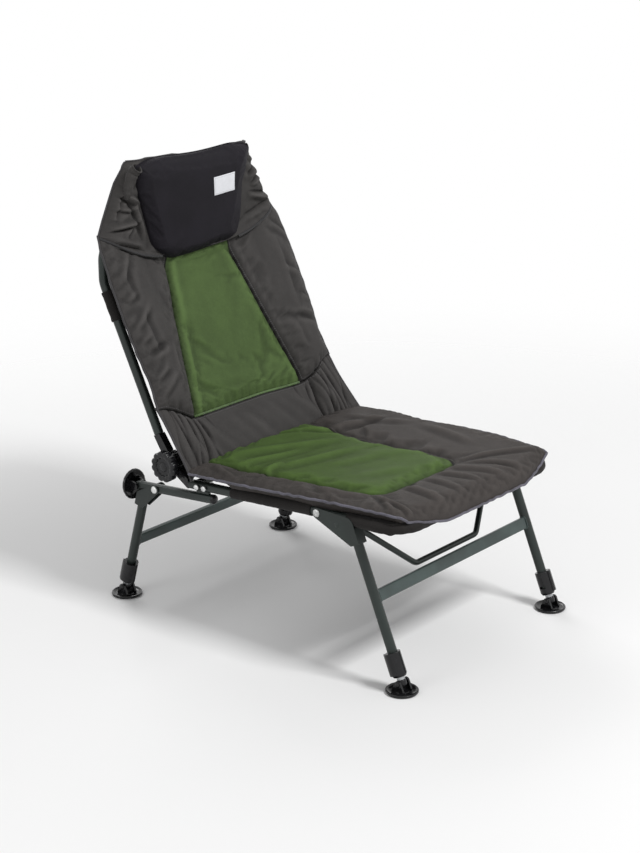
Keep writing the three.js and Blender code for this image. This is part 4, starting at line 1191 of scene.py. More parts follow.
def sampled(sheet: Array, row: Any, column: Any) -> Array:
    """Points of a grid between its corners, at fractional rows and columns.

    Each is the mix of the four corners round it: (1-s)(1-t)a + s(1-t)b + (1-s)t·c + st·d.
    """
    row, column = (np.clip(at, 0, size - 1.001) for at, size in zip((row, column), sheet.shape))
    row, column = np.broadcast_arrays(row, column)
    i, j = np.floor(row).astype(int), np.floor(column).astype(int)
    s, t = (row - i)[..., None], (column - j)[..., None]
    near = lerp(sheet[i, j], sheet[i + 1, j], s)
    return lerp(near, lerp(sheet[i, j + 1], sheet[i + 1, j + 1], s), t)


def normals(sheet: Array) -> Array:
    """The unit normal of a grid at each of its points, from the slopes along its rows and columns."""
    return unit(np.cross(np.gradient(sheet, axis=1), np.gradient(sheet, axis=0)))


def hollowness(sheet: Array, reach: int = 3) -> Array:
    """How hollow a grid is at each point: (mean of the four points that are reach away - point) · normal."""
    rows, columns = sheet.shape[:2]
    wide = np.pad(sheet, ((reach, reach), (reach, reach), (0, 0)), "edge")
    shifts = ((0, reach), (2 * reach, reach), (reach, 0), (reach, 2 * reach))
    around = sum(wide[a:a + rows, b:b + columns] for a, b in shifts) / 4
    return np.einsum("ijk,ijk->ij", around - sheet, normals(sheet))


def spread_map(sheet: Array, creased: float = 1.0) -> dict[str, Array]:
    """The cloth's own flat map in millimetres, by the distance run along the middle row and the middle column,
    and how hollow the cloth is."""
    rows, columns = sheet.shape[:2]
    across = travelled(sheet[rows // 2])
    along = travelled(sheet[:, columns // 2])
    map_x, map_y = np.meshgrid(across - across[columns // 2], along)
    return {"map_x": map_x, "map_y": map_y, "hollow": creased * hollowness(sheet)}


def panel_distance(x: Array, y: Array, half: Array, front: Any, radius: float) -> tuple[Array, Array]:
    """Signed distance outside a panel with one rounded end, and how far along its edge a point lies.

    The distance is |max(q, 0)| + min(max(q), 0) - radius, with q = (|x| - half + radius, front + radius - y)
    and x counted from the panel's middle line.
    """
    q = np.stack([abs(x) - half + radius, front + radius - y], -1)
    outside = np.linalg.norm(np.maximum(q, 0), axis=-1)
    distance = outside + np.minimum(q.max(-1), 0) - radius
    return distance, np.where(q[..., 0] > q[..., 1], y, np.abs(x) + front)


# Padded cover


@dataclass(frozen=True)
class SeatPad:
    """The seat's padded cover: a green panel with a rounded front, grey sides and grey piping."""

    rows: int = 118
    columns: int = 126
    crown: float = 10.0
    edge: float = 6.5
    green_half: tuple[float, float] = (128, 163)
    green_front: float = 127
    green_shift: float = -42
    corner: float = 34
    nose: tuple[float, float] = (130, 246)
    lip: tuple[float, float] = (-10, 17)
    droop: float = 26
    sag: float = 10.0
    sag_half: float = 215
    sag_from: float = 20
    sag_length: float = 560
    seam_dips: Rows = ((5.4, 4.5), (3.0, 16))
    hang_reach: float = 26
    tube_gap: float = 1.2
    tuck_at: float = 22
    tuck_radius: float = 12.6
    bracket: tuple[float, float] = (195, 48)
    folds: tuple[Fold, ...] = folds_of(
        (-180, 536, 70, 430, 15, 6.0), (-206, 482, 0, 440, 11, 5.0), (-226, 420, 50, 362, 14, 5.4),
        (-215, 400, -115, 421, 8, 4.0), (39, 124, 80, -4, 10, 4.8), (4, 116, 14, 2, 8, 3.8),
        (-40, 112, -56, 2, 9, 3.6), (-105, 118, -128, -2, 10, 4.8), (-180, 128, -248, 34, 7, 5.6),
        (236, 332, 182, 150, 12, 4.8), (120, 205, 20, 330, 24, 3.4), (-240, 300, -216, 110, 12, 4.0),
        (196, 510, 236, 350, 12, 4.6), (110, 122, 236, 36, 9, 5.2), (-228, 520, -264, 430, 10, 4.0),
        (160, 470, 244, 430, 11, 4.4), (-214, 250, -266, 150, 11, 3.6), (90, 110, 140, 10, 9, 4.0),
        (-205, 96, -222, -6, 6, 6.0), (60, 520, 190, 455, 12, 4.6), (-90, 330, 40, 290, 18, 3.0),
        (-130, 240, 0, 180, 20, 2.6))

    def past_nose(self, x: Array) -> Array:
        """How far out x lies between the straight nose and the end of the chamfer, from 0 to 1."""
        return np.clip((abs(x) - self.nose[0]) / (self.nose[1] - self.nose[0]), 0, 1)

    def front_edge(self, u: Array) -> Array:
        """How far forward the pad reaches: straight across the nose, then back along the chamfers."""
        return lerp(*self.lip, self.past_nose(u * self.nose[1]) ** 1.3)

    def overhang(self, x: Array, lead: Array) -> tuple[Array, Array]:
        """How much of the pad hangs over the bow, and how far: droop · (1 - √(1 - (1 - lead / reach)²))."""
        over = np.maximum((1 - self.past_nose(x)) ** 0.75, 0.34 * ease(242, 231, abs(x)) * (x < 0))
        return over, over * self.droop * (1 - np.sqrt(1 - (1 - np.clip(lead / self.hang_reach, 0, 1)) ** 2))

    def tuck(self, lead: Array) -> Array:
        """How far the underside drops in front of the bow's sleeve: the arc of a circle round the sleeve."""
        gone = np.clip((self.tuck_at - lead) / self.tuck_radius, 0, 1)
        return self.droop * (1 - np.sqrt(1 - gone**2)) * (lead < self.tuck_at)

    def sheets(self) -> tuple[Array, Array, dict[str, Array]]:
        """The top and bottom sheets and the marks.

        The top is the edge line plus a fill that rises from the piping as 1 - exp(-d / 15), less the sewn
        dips and the sag of the middle, plus the folds; its front middle hangs over the bow.

        Returns:
            Both sheets as rows × columns × 3, and the marks "seam" and "run".
        """
        u, v = crowded_grid(self.rows, self.columns)
        y = lerp(self.front_edge(u), COVER.rear_edge(u), v)
        half = COVER.table(COVER.seat_half, y)
        x = u * half
        side, lead = half - abs(x), y - self.front_edge(u)
        rim = np.minimum(np.minimum(side, lead), COVER.rear_edge(u) - y + 14)
        base = LINES.rail(np.maximum(y, 12)) + LINES.tube + LINES.cloth + self.tube_gap
        over, hang = self.overhang(x, lead)
        edge_line = COVER.table(COVER.seat_rim, y) - 2 * ease(150, 250, x) * ease(170, 20, y)
        line = lerp(edge_line, base + self.edge + 7 * ease(430, 545, y), ease(0, 46, side))
        green = lerp(*self.green_half, np.clip(y / 540, 0, 1))
        seam, run = panel_distance(x - self.green_shift, y, green, self.green_front, self.corner)
        run_back = np.clip((y - self.sag_from) / self.sag_length, 0, 1)
        sag = self.sag * (1 - (x / self.sag_half) ** 2).clip(0) * np.sin(math.pi * run_back)
        wave = sum(fold.rise(x, y) for fold in self.folds)
        hem = 1.3 * ripple(y + 0.4 * abs(x), 21, 4) * bell(rim, 16) + 0.9 * ripple(x, 17, 6) * bell(lead, 14)
        fill = self.crown * filled(rim, 15) + 2.0 * filled(abs(seam), 22)
        top = line - hang + fill + (wave + hem) * filled(rim, 5) - bells(seam, self.seam_dips) - sag
        by_bracket = bell(y - self.bracket[0], self.bracket[1])
        under = np.where(lead < 40, base - over * self.tuck(lead), base) - 0.2
        under = np.minimum(under - 4.5 * by_bracket * ease(222, 240, abs(x)), top - 2.4)
        shut = ease(lerp(11, 34, ease(424, 456, y)) - 5 * by_bracket, 0, rim) ** 0.9
        bottom = lerp(under, np.minimum(line - hang, top) - 1.2, shut)
        return vector(x, y, top), vector(x, y, bottom), {"seam": seam, "run": run}

    def piping_line(self, top: Array, bottom: Array) -> Array:
        """The line of the piping: round both sides and the front, a little outside the edge and uneven."""
        edge, low = (np.concatenate([s[::-1, 0], s[0, 1:-1], s[:, -1]]) for s in (top, bottom))
        line = spaced(lerp(edge, low, 0.45), 2.5)
        level = np.array([1, 1, 0])
        out = unit(line * level - np.array([0, 300, 0])) * level
        run = travelled(line)
        outward, upward = (ripple(run, pitch, seed)[:, None] for pitch, seed in ((26, 9), (31, 2)))
        return line + out * (1.2 + 0.8 * outward) + np.array([0, 0, 0.9]) * upward

    def build(self, shop: Workshop, finishes: Finishes) -> None:
        top, bottom, marks = self.sheets()
        top = Stuffing().puffed(top, marks["seam"], 1)
        shape = closed_pad(top, bottom, {**marks, **spread_map(top)})
        pad = shop.piece("seat_pad", shape, finishes.seat_cloth, "seat_frame", ["seat_cushion"], sharp=70)
        line = self.piping_line(top, bottom)
        shop.piping("seat_piping", line, 2.6, (0, 0, 1), finishes.piping, "seat_frame")


@dataclass(frozen=True)
class BackPad:
    """The back's padded cover: a green panel between two side bolsters, closed by the hood's seam above."""

    rows: int = 120
    columns: int = 128
    green: tuple[float, float] = (171, 86)
    green_foot: float = 419
    green_length: float = 350
    length: float = 340
    panel_fill: float = 0.15
    bolster: float = 11.5
    seam_dips: Rows = ((7.0, 4.5), (3.0, 14))
    fold_share: float = 0.85
    wall: float = 46
    folds: tuple[Fold, ...] = folds_of(
        (-238, 720, -240, 645, 8, -7.0), (-233, 632, -220, 540, 9, -8.0), (-254, 549, -203, 562, 7, -7.0),
        (-140, 690, -60, 560, 26, 3.0), (-266, 600, -215, 640, 7, 5.0), (-262, 690, -222, 740, 8, 5.0),
        (120, 640, 40, 500, 26, 2.6), (-260, 470, -205, 506, 8, 5.0), (235, 690, 226, 560, 11, -6.0),
        (254, 520, 205, 540, 8, -6.0), (-120, 470, 60, 456, 12, 2.6), (60, 700, -70, 690, 12, 2.4),
        (-190, 470, -186, 560, 7, 4.0), (-262, 500, -225, 520, 6, 4.4), (262, 610, 215, 640, 8, 4.6),
        (196, 466, 190, 540, 7, 4.0), (-264, 655, -236, 668, 6, 4.0), (262, 700, 225, 730, 8, 4.4),
        (-264, 575, -240, 585, 5, 3.6), (262, 560, 236, 575, 6, 3.8))

    def rear_sheet(self, u: Array, height: Array, side: Array, y: Array, z: Array) -> tuple[Array, Array]:
        """(y, z) of the rear sheet: behind the front by the pad's thickness, wrapped round the tube above the
        knee, and shut against the front sheet along the sides."""
        beside = ease(0.76, 0.9, abs(u))
        low_y, low_z = COVER.on_pad(height, COVER.thickness + COVER.dish * (1 - beside), COVER.behind)
        wrap = ease(LINES.knee, LINES.shoulder, height)
        rear_y, rear_z = lerp(low_y, LINES.on_back(LINES.top, -13)[0], wrap), lerp(low_z, height, wrap)
        shut = lerp(np.clip(1 - side / self.wall, 0, 1) ** 0.8, ease(14, 0, side), wrap)
        return lerp(rear_y, y + 3.5, shut), lerp(rear_z, z - 1, shut)

    def sheets(self) -> tuple[Array, Array, dict[str, Array]]:
        """The front and rear sheets and the marks.

        A point's height runs between the two seams and its depth is the dished face, less a fill that rises
        as 1 - exp(-d / 9) from the rim, the round side bolsters √(1 - (2d / strip - 1)²) and the folds.

        Returns:
            Both sheets as rows × columns × 3, and the marks "seam" and "run".
        """
        u, v = crowded_grid(self.rows, self.columns)
        height = lerp(COVER.low_seam(u), COVER.high_seam(u) + 4, v)
        half = COVER.table(COVER.back_half, height)
        x = u * half
        side = half - abs(x)
        green = lerp(*self.green, np.clip((height - self.green_foot) / self.green_length, 0, 1))
        seam = abs(x) - green
        ends = np.minimum(v, 1 - v) * self.length
        puffed = 4.5 * bell(seam + 20, 12) * (x < 0) + 2.5 * bell(seam + 20, 14) * (x > 0)
        lower = 3.5 * bell(ends - 24, 18) * (v < 0.5) * ease(0, 12, -seam)
        strip = np.maximum(half - green, 30)
        bolster = self.bolster * np.sqrt(np.clip(1 - (2 * side / strip - 1) ** 2, 0, 1)) * (seam > 0)
        fill = 5.0 * filled(side, 9) * lerp(self.panel_fill, 1, ease(-30, 8, seam))
        fill += bolster * filled(ends, 16) + 2.6 * filled(abs(seam), 16) * filled(ends, 14)
        fill -= 3.2 * (1 - filled(ends, 9))
        wave = self.fold_share * sum(fold.rise(x, height, 0.45) for fold in self.folds)
        hem = 1.6 * ripple(x, 17, 5) * bell(ends - 5, 12) * (v < 0.5)
        hem += 1.7 * ripple(height, 37, 3, 7) * bell(side, 16)
        depth = COVER.face_depth(u) + bells(seam, self.seam_dips) - puffed - lower
        depth -= (fill + wave + hem) * filled(side, 4)
        depth += 6.5 * ease(740, 790, height) * ease(0.9, 1, abs(u))
        ahead = lerp(14 + 6 * filled(side, 9) + wave, -15, ease(0.88, 1, abs(u)))
        y, z = COVER.on_pad(height, depth, ahead)
        low = height - COVER.low_seam(u)
        rear = vector(x, *self.rear_sheet(u, height, side, y, z))
        nearer = low < abs(seam)
        marks = {"seam": np.sign(seam) * np.where(nearer, low, abs(seam)), "run": np.where(nearer, x, height)}
        return vector(x, y, z), rear, marks

    def build(self, shop: Workshop, finishes: Finishes) -> None:
        """Builds the pad, the piping of its sides and the rolled green seam at its lower end."""
        front, rear, marks = self.sheets()
        front = Stuffing().puffed(front, marks["seam"], 2)
        shape = closed_pad(front, rear, {**marks, **spread_map(front)})
        pad = shop.piece("back_pad", shape, finishes.back_cloth, "back", ["back_cushion"], sharp=70)
        for side in Side:
            line = side_line(front, rear, side, 0.4, 1.0)
            line[:, 0] += 0.8 * ripple(travelled(line), 41, 12)
            shop.piping(f"back_piping_{side.word}", line, 2.4, (1, 0, 0), finishes.dark_piping)
        keep = abs(front[1, :, 0]) < self.green[0] - 1
        line = spaced(front[1, keep], 3) + np.array([0, -2.2, 0.6])
        shop.piping("back_panel_roll", line, 2.6, (0, 0, 1), finishes.green_piping)


@dataclass(frozen=True)
class LumbarBand:
    """The roll of padded cover that crosses the fold between the seat and the back. Each crease has its place
    across, depth, width, slant, middle and reach up the band."""

    rows: int = 60
    columns: int = 300
    low_half: float = 283
    length: float = 100
    roll: float = 12
    gather: float = 4.4
    gather_pitch: float = 17
    gather_at: tuple[float, float] = (222, 40)
    bend: Rows = ((0, 545, 340), (0, 622, 425))
    creases: Rows = (
        (190, 17, 5.5, 1.0, 0.5, 90), (176, 8, 4.5, 1.5, 0.75, 26), (205, 9, 5, -1.2, 0.2, 30),
        (216, 8, 4.5, 0.8, 0.7, 30), (240, 9, 6, -0.6, 0.55, 40), (258, 7, 5, 1.0, 0.3, 30),
        (160, 5, 4, -1.6, 0.1, 20), (146, 4, 4, 1.2, 0.9, 16), (228, 6, 4, 1.6, 0.12, 22))

    def creased(self, x: Array, v: Array, lean: Array) -> Array:
        """How far the creases draw the cloth in: the sum of depth · exp(-d / width), faded along the band."""
        drawn = np.zeros_like(x)
        for at, depth, width, slant, middle, reach in self.creases:
            off = abs(abs(x) - at - lean * slant)
            drawn += 1.25 * depth * np.exp(-off / width) * bell((v - middle) * self.length, reach)
        return drawn

    def sheets(self) -> tuple[Array, Array, dict[str, Array]]:
        """The front and rear sheets: straight lines from the seat's rear edge to the back pad's lower seam,
        bulged forward by b · sin(πv), gathered near both ends and drawn in by the creases.

        Returns:
            Both sheets as rows × columns × 3, and the marks "seam" and "run".
        """
        u, v = crowded_grid(self.rows, self.columns, 0.85, 0.7)
        under = ease(0.8, 0.93, abs(u))
        depth = COVER.face_depth(u) - 3.5 + 7 * under
        top_y, top_z = COVER.on_pad(COVER.low_seam(u) - 1.5 + 8 * under, depth, COVER.behind)
        low_y = COVER.rear_edge(u) - 9.0
        low_z = LINES.rail(535) + COVER.behind + 4
        arch = np.sin(math.pi * v)
        half = lerp(self.low_half, COVER.table(COVER.back_half, 448), v) - 5 * arch
        x = u * half
        side = half - abs(x)
        ends = np.minimum(v, 1 - v) * self.length
        lean = 7 * np.sin(3.1 * v + 0.02 * x)
        gather = self.gather * (1 - 2 * abs(np.sin((x + lean) * math.pi / self.gather_pitch)) ** 0.6)
        gather *= bell(abs(x) - self.gather_at[0], self.gather_at[1])
        roll = self.roll * np.sin(math.pi * v ** 0.8) ** 0.75 * filled(side, 12)
        bulge = (roll - self.creased(x, v, lean) - gather * (0.4 + 0.6 * bell(ends, 26)) - 3.0 * bell(ends, 5)
                 + (3.0 * ripple(x + 60 * v, 62, 5) + 6.0 * bell(abs(x) - 212, 15)) * arch)
        y, z = lerp(low_y, top_y, v), lerp(low_z, top_z, v)
        thick = lerp(15, 7, abs(u) ** 6)
        shut = ease(10, 0, side)
        back = vector(x, y + lerp(thick, 1.5, shut) * 0.9, z - lerp(4.5, 1, shut))
        return vector(x, y - bulge * 0.93, z + bulge * 0.3), back, {"seam": np.maximum(ends, 0.6), "run": x}

    def build(self, shop: Workshop, finishes: Finishes) -> None:
        """Builds the band, bent between seat and back, with piping down each end."""
        front, back, marks = self.sheets()
        band = shop.piece("lumbar_band_cover", closed_pad(front, back, {**marks, **spread_map(front, 2.4)}),
                          finishes.back_cloth, None, ["lumbar_band"], sharp=70)
        ends = [shop.piping(f"band_piping_{side.word}", side_line(front, back, side, 0.5, 0.8), 2.4, (1, 0, 0),
                            finishes.dark_piping, None) for side in Side]
        for made in (band, *ends):
            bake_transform(made)


@dataclass(frozen=True)
class HeadHood:
    """The hood that is pulled over the top of the back: creased sides, rolled top corners and a hem."""

    rows: int = 130
    columns: int = 180
    top: Rows = ((-1, 930), (-0.8, 933), (-0.6, 931), (-0.35, 930), (-0.15, 924), (0.1, 924), (0.5, 926),
                 (0.85, 925), (1, 920))
    ahead: float = 15.5
    behind: float = 17
    ear_path: Rows = ((186, 755, 923), (189, 763, 915), (194, 768, 900), (199, 771, 880), (202, 772, 856))
    ear_sizes: tuple[float, float] = (14.5, 8.0)
    far_ear: tuple[float, float, float] = (-24, 14, -5)
    scroll: int = 22
    folds: tuple[Fold, ...] = folds_of(
        (-236, 812, -196, 900, 7, 13.0), (-254, 800, -180, 806, 6, 11.0), (-216, 874, -178, 846, 6, 13.0),
        (-250, 784, -160, 752, 8, 10.0), (-205, 905, -186, 868, 6, 7.0), (-236, 842, -190, 832, 5, 7.5),
        (-196, 868, -158, 770, 7, 9.0), (-226, 862, -206, 852, 4, 6.0), (-252, 822, -224, 818, 4, 6.0),
        (-214, 780, -176, 812, 6, 6.0), (232, 800, 190, 905, 7, 12.0), (252, 790, 172, 806, 7, 11.0),
        (212, 868, 174, 846, 6, 13.0), (248, 780, 150, 752, 8, 7.5), (222, 842, 180, 826, 5, 8.0),
        (198, 888, 180, 880, 5, 6.0), (-150, 748, -90, 734, 7, 3.0), (160, 752, 100, 736, 7, 3.0))

    def sheets(self) -> tuple[Array, Array, dict[str, Array]]:
        """The front and rear sheets: flat in front of the hoop, turned back to the measured edge at the
        sides, with the folds and a lower hem that stands off the back pad.

        Returns:
            Both sheets as rows × columns × 3, and the marks "seam" and "run".
        """
        u, v = crowded_grid(self.rows, self.columns)
        z = lerp(COVER.high_seam(u) - 4, COVER.table(self.top, u), v)
        half = COVER.table(COVER.hood_edge, z) - 7 * bell(z - 872, 42) * (u > 0)
        x = u * half
        side = half - abs(x)
        edge_y = COVER.table(COVER.hood_edge, z, 2)
        wave = sum(fold.rise(x, z, 1.0) for fold in self.folds)
        crease = 2.0 * ripple(z + 0.6 * abs(x), 17, 8) * ease(0.55, 0.8, abs(u))
        over = 12.0 * filled(side, 20) * bell(v * 200, 13) + 5.0 * filled(side, 12)
        front_y = LINES.on_back(LINES.top, self.ahead)[0] - (wave + crease) * filled(side, 6) - over
        y = lerp(front_y, edge_y, 1 - filled(side, 10)) + 5 * ease(0.9, 1, v)
        rear = LINES.on_back(LINES.top, -self.behind)[0]
        rear = rear + 0.9 * (ripple(z + 0.2 * x, 110, 2) + ripple(x, 130, 3))
        shut = np.maximum(ease(14, 0, side), ease(0.07, 0, 1 - v))
        shut = np.maximum(shut, ease(0.012, 0, np.minimum(v, 1 - v)))
        back_y = lerp(np.maximum(rear, y + 5), y + 2.5, shut)
        return vector(x, y, z), vector(x, back_y, z - 0.4), {"seam": np.full_like(x, NO_SEAM), "run": x}

    def ear(self, side: Side) -> Shape:
        """One top corner: the cloth's edge rolled into an open scroll that narrows downward."""
        far = float(side is Side.LEFT)
        path = (np.array(self.ear_path) + far * np.array(self.far_ear)) * np.array([side.value, 1, 1])
        path = spaced(path, 3)
        turn = np.linspace(math.radians(-200), math.radians(110), self.scroll)
        swirl = np.linspace(1.0, 0.72, self.scroll)
        outer = np.stack([np.cos(turn) * swirl, np.sin(turn) * swirl], -1)
        section = np.concatenate([outer, outer[::-1] * 0.82])
        taper = np.interp(np.linspace(0, 1, len(path)), [0, 0.25, 0.8, 1], [1, 1, 0.7, 0.3])
        size = lerp(*self.ear_sizes, far) * taper * (1 + 0.08 * ripple(travelled(path), 15, 3))
        made = ring_body(carried(path, section, (0, 1, 0.2), size))
        map_x, map_y = np.meshgrid(np.arange(len(section)) * 1.1, travelled(path))
        made.marks = {"seam": np.full(len(made.points), NO_SEAM), "run": made.points[:, 0],
                      "map_x": map_x.ravel(), "map_y": map_y.ravel()}
        return made

    def build(self, shop: Workshop, finishes: Finishes) -> None:
        """Builds the hood, its two rolled corners, the piping along its edges and the painted shadow strips
        under its hem.
        """
        front, back, marks = self.sheets()
        hood = shop.piece("head_hood_cover", closed_pad(front, back, {**marks, **spread_map(front, 2.4)}),
                          finishes.back_cloth, "back", ["head_hood"], sharp=70)
        for side in Side:
            shop.piece(f"hood_corner_{side.word}", self.ear(side), finishes.back_cloth, "back", sharp=60)
            shop.piping(f"hood_piping_{side.word}", side_line(front, back, side, 0.5, 1.0), 2.0, (1, 0, 0),
                        finishes.dark_piping)
        # Painted shadow: near-black strips along the hem, outside the pillow, stand for the shade under the
        # hood's hem
        for side in Side:
            keep = (front[0, :, 0] * side.value) > 118
            line = spaced(front[0, keep], 3) + np.array([0, -0.8, -1.6])
            shop.piping(f"hood_hem_{side.word}", line, 2.9, (0, 0, 1), finishes.shadow_piping)
        line = spaced(lerp(front[-1], back[-1], 0.5) + np.array([0, 0, 1]), 3)
        shop.piping("hood_top_piping", line, 1.9, (0, 0, 1), finishes.dark_piping)


@dataclass(frozen=True)
class HeadPillow:
    """The stuffed head pillow, with a bare woven label near its upper left corner."""

    rows: int = 84
    columns: int = 100
    seams: tuple[float, float] = (711, 929)
    boxed_wall: float = 27
    soft_wall: float = 52
    rise: tuple[float, float, float] = (14.6, 25, 9)
    middle: tuple[float, float] = (820, 117)
    half_width: float = 180
    label: tuple[float, float, float, float] = (28, 99, 833, 872)
    label_rows: tuple[float, float] = (712, 927)
    folds: tuple[Fold, ...] = folds_of(
        (-150, 908, -60, 880, 18, 1.2), (-110, 735, -70, 765, 14, 1.4), (150, 905, 90, 885, 16, 1.2))

    def front(self, u: Array, v: Array) -> tuple[Array, Array]:
        """The front sheet and the distance d to its rim: a wall of √(1 - (1 - d / 27)^2.4) on the right that
        goes over into the softer 1 - (1 - d / 52)^1.7 on the left, then a crown."""
        corner = np.maximum(abs(u) - 0.55, 0) / 0.45
        low = self.seams[0] + 32 * corner**2.6 + 2 * np.sin(3 * u)
        high = self.seams[1] - 13 * corner**2.2 - 3 * np.cos(3.4 * u) - 2 * np.sin(1.6 * u)
        z = lerp(low, high, v)
        half = COVER.table(COVER.pillow_half, z) - 12 * bell(z - 838, 48) * (u > 0)
        x = u * half
        side, ends = half - abs(x), np.minimum(v, 1 - v) * (high - low)
        rim = np.minimum(side, ends)
        boxed = np.sqrt(1 - (1 - np.clip(rim / self.boxed_wall, 0, 1)) ** 2.4)
        soft = 1 - (1 - np.clip(np.minimum(side / self.soft_wall, ends / self.boxed_wall), 0, 1)) ** 1.7
        wall = lerp(boxed, soft, ease(-0.1, 0.8, u))
        wave = sum(fold.rise(x, z) for fold in self.folds)
        middle, half_height = self.middle
        crown = (1 - (x / self.half_width) ** 2) * (1 - ((z - middle) / half_height) ** 2)
        start, height, more = self.rise
        ahead = start + height * wall + more * crown.clip(0) * wall + wave * filled(rim, 10)
        return vector(x, *LINES.on_back(z, ahead)), rim

    def build(self, shop: Workshop, finishes: Finishes) -> None:
        """Builds the pillow, its edge seam and the label that lies on it."""
        u, v = crowded_grid(self.rows, self.columns, 0.86, 0.88)
        front, rim = self.front(u, v)
        front = Stuffing(pressure=1.5, cap=2.5, slack=0.008).swell(front, (rim < 2).astype(float))
        y = LINES.on_back(front[..., 2], 12.0)[0]
        rear = vector(front[..., 0], np.maximum(y, front[..., 1] + 3), front[..., 2])
        marks = {"seam": np.full_like(u, NO_SEAM), "run": front[..., 0]}
        pillow = shop.piece("head_pillow_cover", closed_pad(front, rear, {**marks, **spread_map(front, 2.4)}),
                            finishes.pillow_cloth, "back", ["head_pillow"], sharp=75)
        edge = np.concatenate([front[0], front[1:, -1], front[-1, -2::-1], front[-2::-1, 0]])
        line = spaced(edge, 3) + np.array([0, -0.5, 0])
        shop.piping("pillow_seam", line, 1.5, (0, 1, 0), finishes.pillow_cloth, sides=8)
        shop.piece("pillow_label", self.patch(front, u[0], v[:, 0]), finishes.label, "back", sharp=60)

    def patch(self, front: Array, across: Array, along: Array) -> Shape:
        """The label: a thin sheet laid on the pillow's own points and lifted along their normals."""
        x0, x1, z0, z1 = self.label
        x, z = np.meshgrid(np.linspace(x0, x1, 40), np.linspace(z0, z1, 26))
        row = np.interp(z, lerp(*self.label_rows, along), np.arange(self.rows))
        column = np.interp(x / COVER.table(COVER.pillow_half, z), across, np.arange(self.columns))
        lift = sampled(normals(front), row, column)
        lift = lift * -np.sign(lift[..., 1:2])
        rest = sampled(front, row, column)
        edge = np.minimum(np.minimum(x - x0, x1 - x), np.minimum(z - z0, z1 - z))
        marks = {"seam": edge, "run": x + z, "map_x": x - x0, "map_y": z - z0}
        high = 1.3 - 0.6 * bell(edge, 1.2)
        return closed_pad(rest + lift * high[..., None], rest - lift * 0.4, marks)


@dataclass(frozen=True)
class Slings:
    """The carrying cloths under the seat and behind the back, with the sleeves that hold them to the tubes."""

    seat_span: tuple[float, float] = (12.0, 436.0)
    back_span: tuple[float, float] = (610.0, 672.0)
    half: float = 258
    thin: float = 0.6
    seat_sleeve: tuple[float, float] = (434, 224)
    back_sleeve: tuple[float, float] = (615, 672)
    bow_reach: float = 136.0
    radius: float = 12.2
    bow_radius: float = 11.2
    sides: int = 36

    def sleeve(self, path: Array, radius: float, up: Sequence[float], seed: int) -> Shape:
        """A loose cloth tube round a piece of the frame, with an uneven wall and turned mouths."""
        path = spaced(path, 3)
        run = travelled(path)
        side, top = frames_along(path, np.asarray(up, float))
        size = radius + 0.35 * ripple(run, 22, seed) + 0.5 * bell(np.minimum(run, run[-1] - run) - 4, 1.6)
        outer = swept(path, circle(self.sides), side, top, size)
        inner = swept(path[::-1], circle(self.sides), side[::-1], top[::-1], LINES.tube + 0.15)
        rings = np.concatenate([outer, inner])
        index = quads(len(rings) + 1, self.sides, ring=True) % (len(rings) * self.sides)
        return Shape(rings.reshape(-1, 3), [index]).outward()

    def webs(self) -> tuple[Shape, Shape]:
        """The seat's sling, which follows the rails, sags between them and is cut away beside the leg
        brackets, and the back's, which follows the leaning tubes."""
        x, t = np.meshgrid(np.linspace(-1, 1, 70), np.linspace(0, 1, 72))
        bow = (1 - x**2) * np.sin(math.pi * t)
        y = lerp(*self.seat_span, t)
        notch = ease(170, 200, y) * (1 - ease(216, 232, y))
        half = lerp(self.half, 240, notch) - 46 * ease(40, 8, y) ** 2
        z = LINES.rail(y) + 10.6 - 7 * bow + 0.8 * ripple(x * 260 + y, 60, 4)
        seat = [vector(x * half, y, z + off) for off in (self.thin, -self.thin)]
        height = lerp(*self.back_span, t)
        sag = 10.8 + 5 * bow
        back = [vector(x * self.half, *LINES.on_lean(height, sag + off)) for off in (-self.thin, self.thin)]
        return closed_pad(*seat, {}), closed_pad(*back, {})

    def build(self, shop: Workshop, finishes: Finishes) -> None:
        cloth, across = finishes.sling_cloth, (1, 0, 0)
        seat_web, back_web = self.webs()
        seat = shop.piece("seat_sling_cloth", seat_web, cloth, "seat_frame", ["seat_sling"])
        back = shop.piece("back_sling_cloth", back_web, cloth, "back", ["back_sling"])
        places, heights = np.array(self.seat_sleeve), np.array(self.back_sleeve)
        for side in Side:
            x = side.value * LINES.rail_x
            low = self.sleeve(vector(x, places, LINES.rail(places)), self.radius, across, 3)
            shop.piece(f"seat_sleeve_{side.word}", low, cloth, "seat_frame")
            high = self.sleeve(vector(x, *LINES.on_lean(heights)), self.radius, across, 5)
            shop.piece(f"back_sleeve_{side.word}", high, cloth, "back")
        bow = self.sleeve(LINES.bow_line(self.bow_reach), self.bow_radius, (0, 0, 1), 7)
        shop.piece("bow_sleeve", bow, cloth, "seat_frame")
        for side in Side:
            shop.piece(f"sling_corner_{side.word}", self.corner(side), cloth, "seat_frame")

    def corner(self, side: Side) -> Shape:
        """A folded cloth corner that hangs from the sling round the bend of the bow."""
        t, w = np.meshgrid(np.linspace(0, 1, 26), np.linspace(0, 1, 14))
        sine, cosine = np.sin(t * math.pi / 2), np.cos(t * math.pi / 2)
        bend = LINES.bow_corner
        x = LINES.rail_x - bend + (bend + 10 * w) * sine
        y = LINES.bow[0] + bend - (bend + 4 * w) * cosine
        drop = 10 + 13 * np.clip(1 - abs(t - 0.62) * 2.8, 0, 1)
        swing = 2.6 * np.sin(math.pi * w) + ripple(t * 90, 26, 5) * w
        centre = vector(side.value * (x + swing * sine), y - swing * cosine, LINES.rail(y) + 11 - w * drop)
        out = 0.8 * vector(side.value * sine, -cosine, 0)
        return closed_pad(centre + out, centre - out, {})


# Tubes and fittings


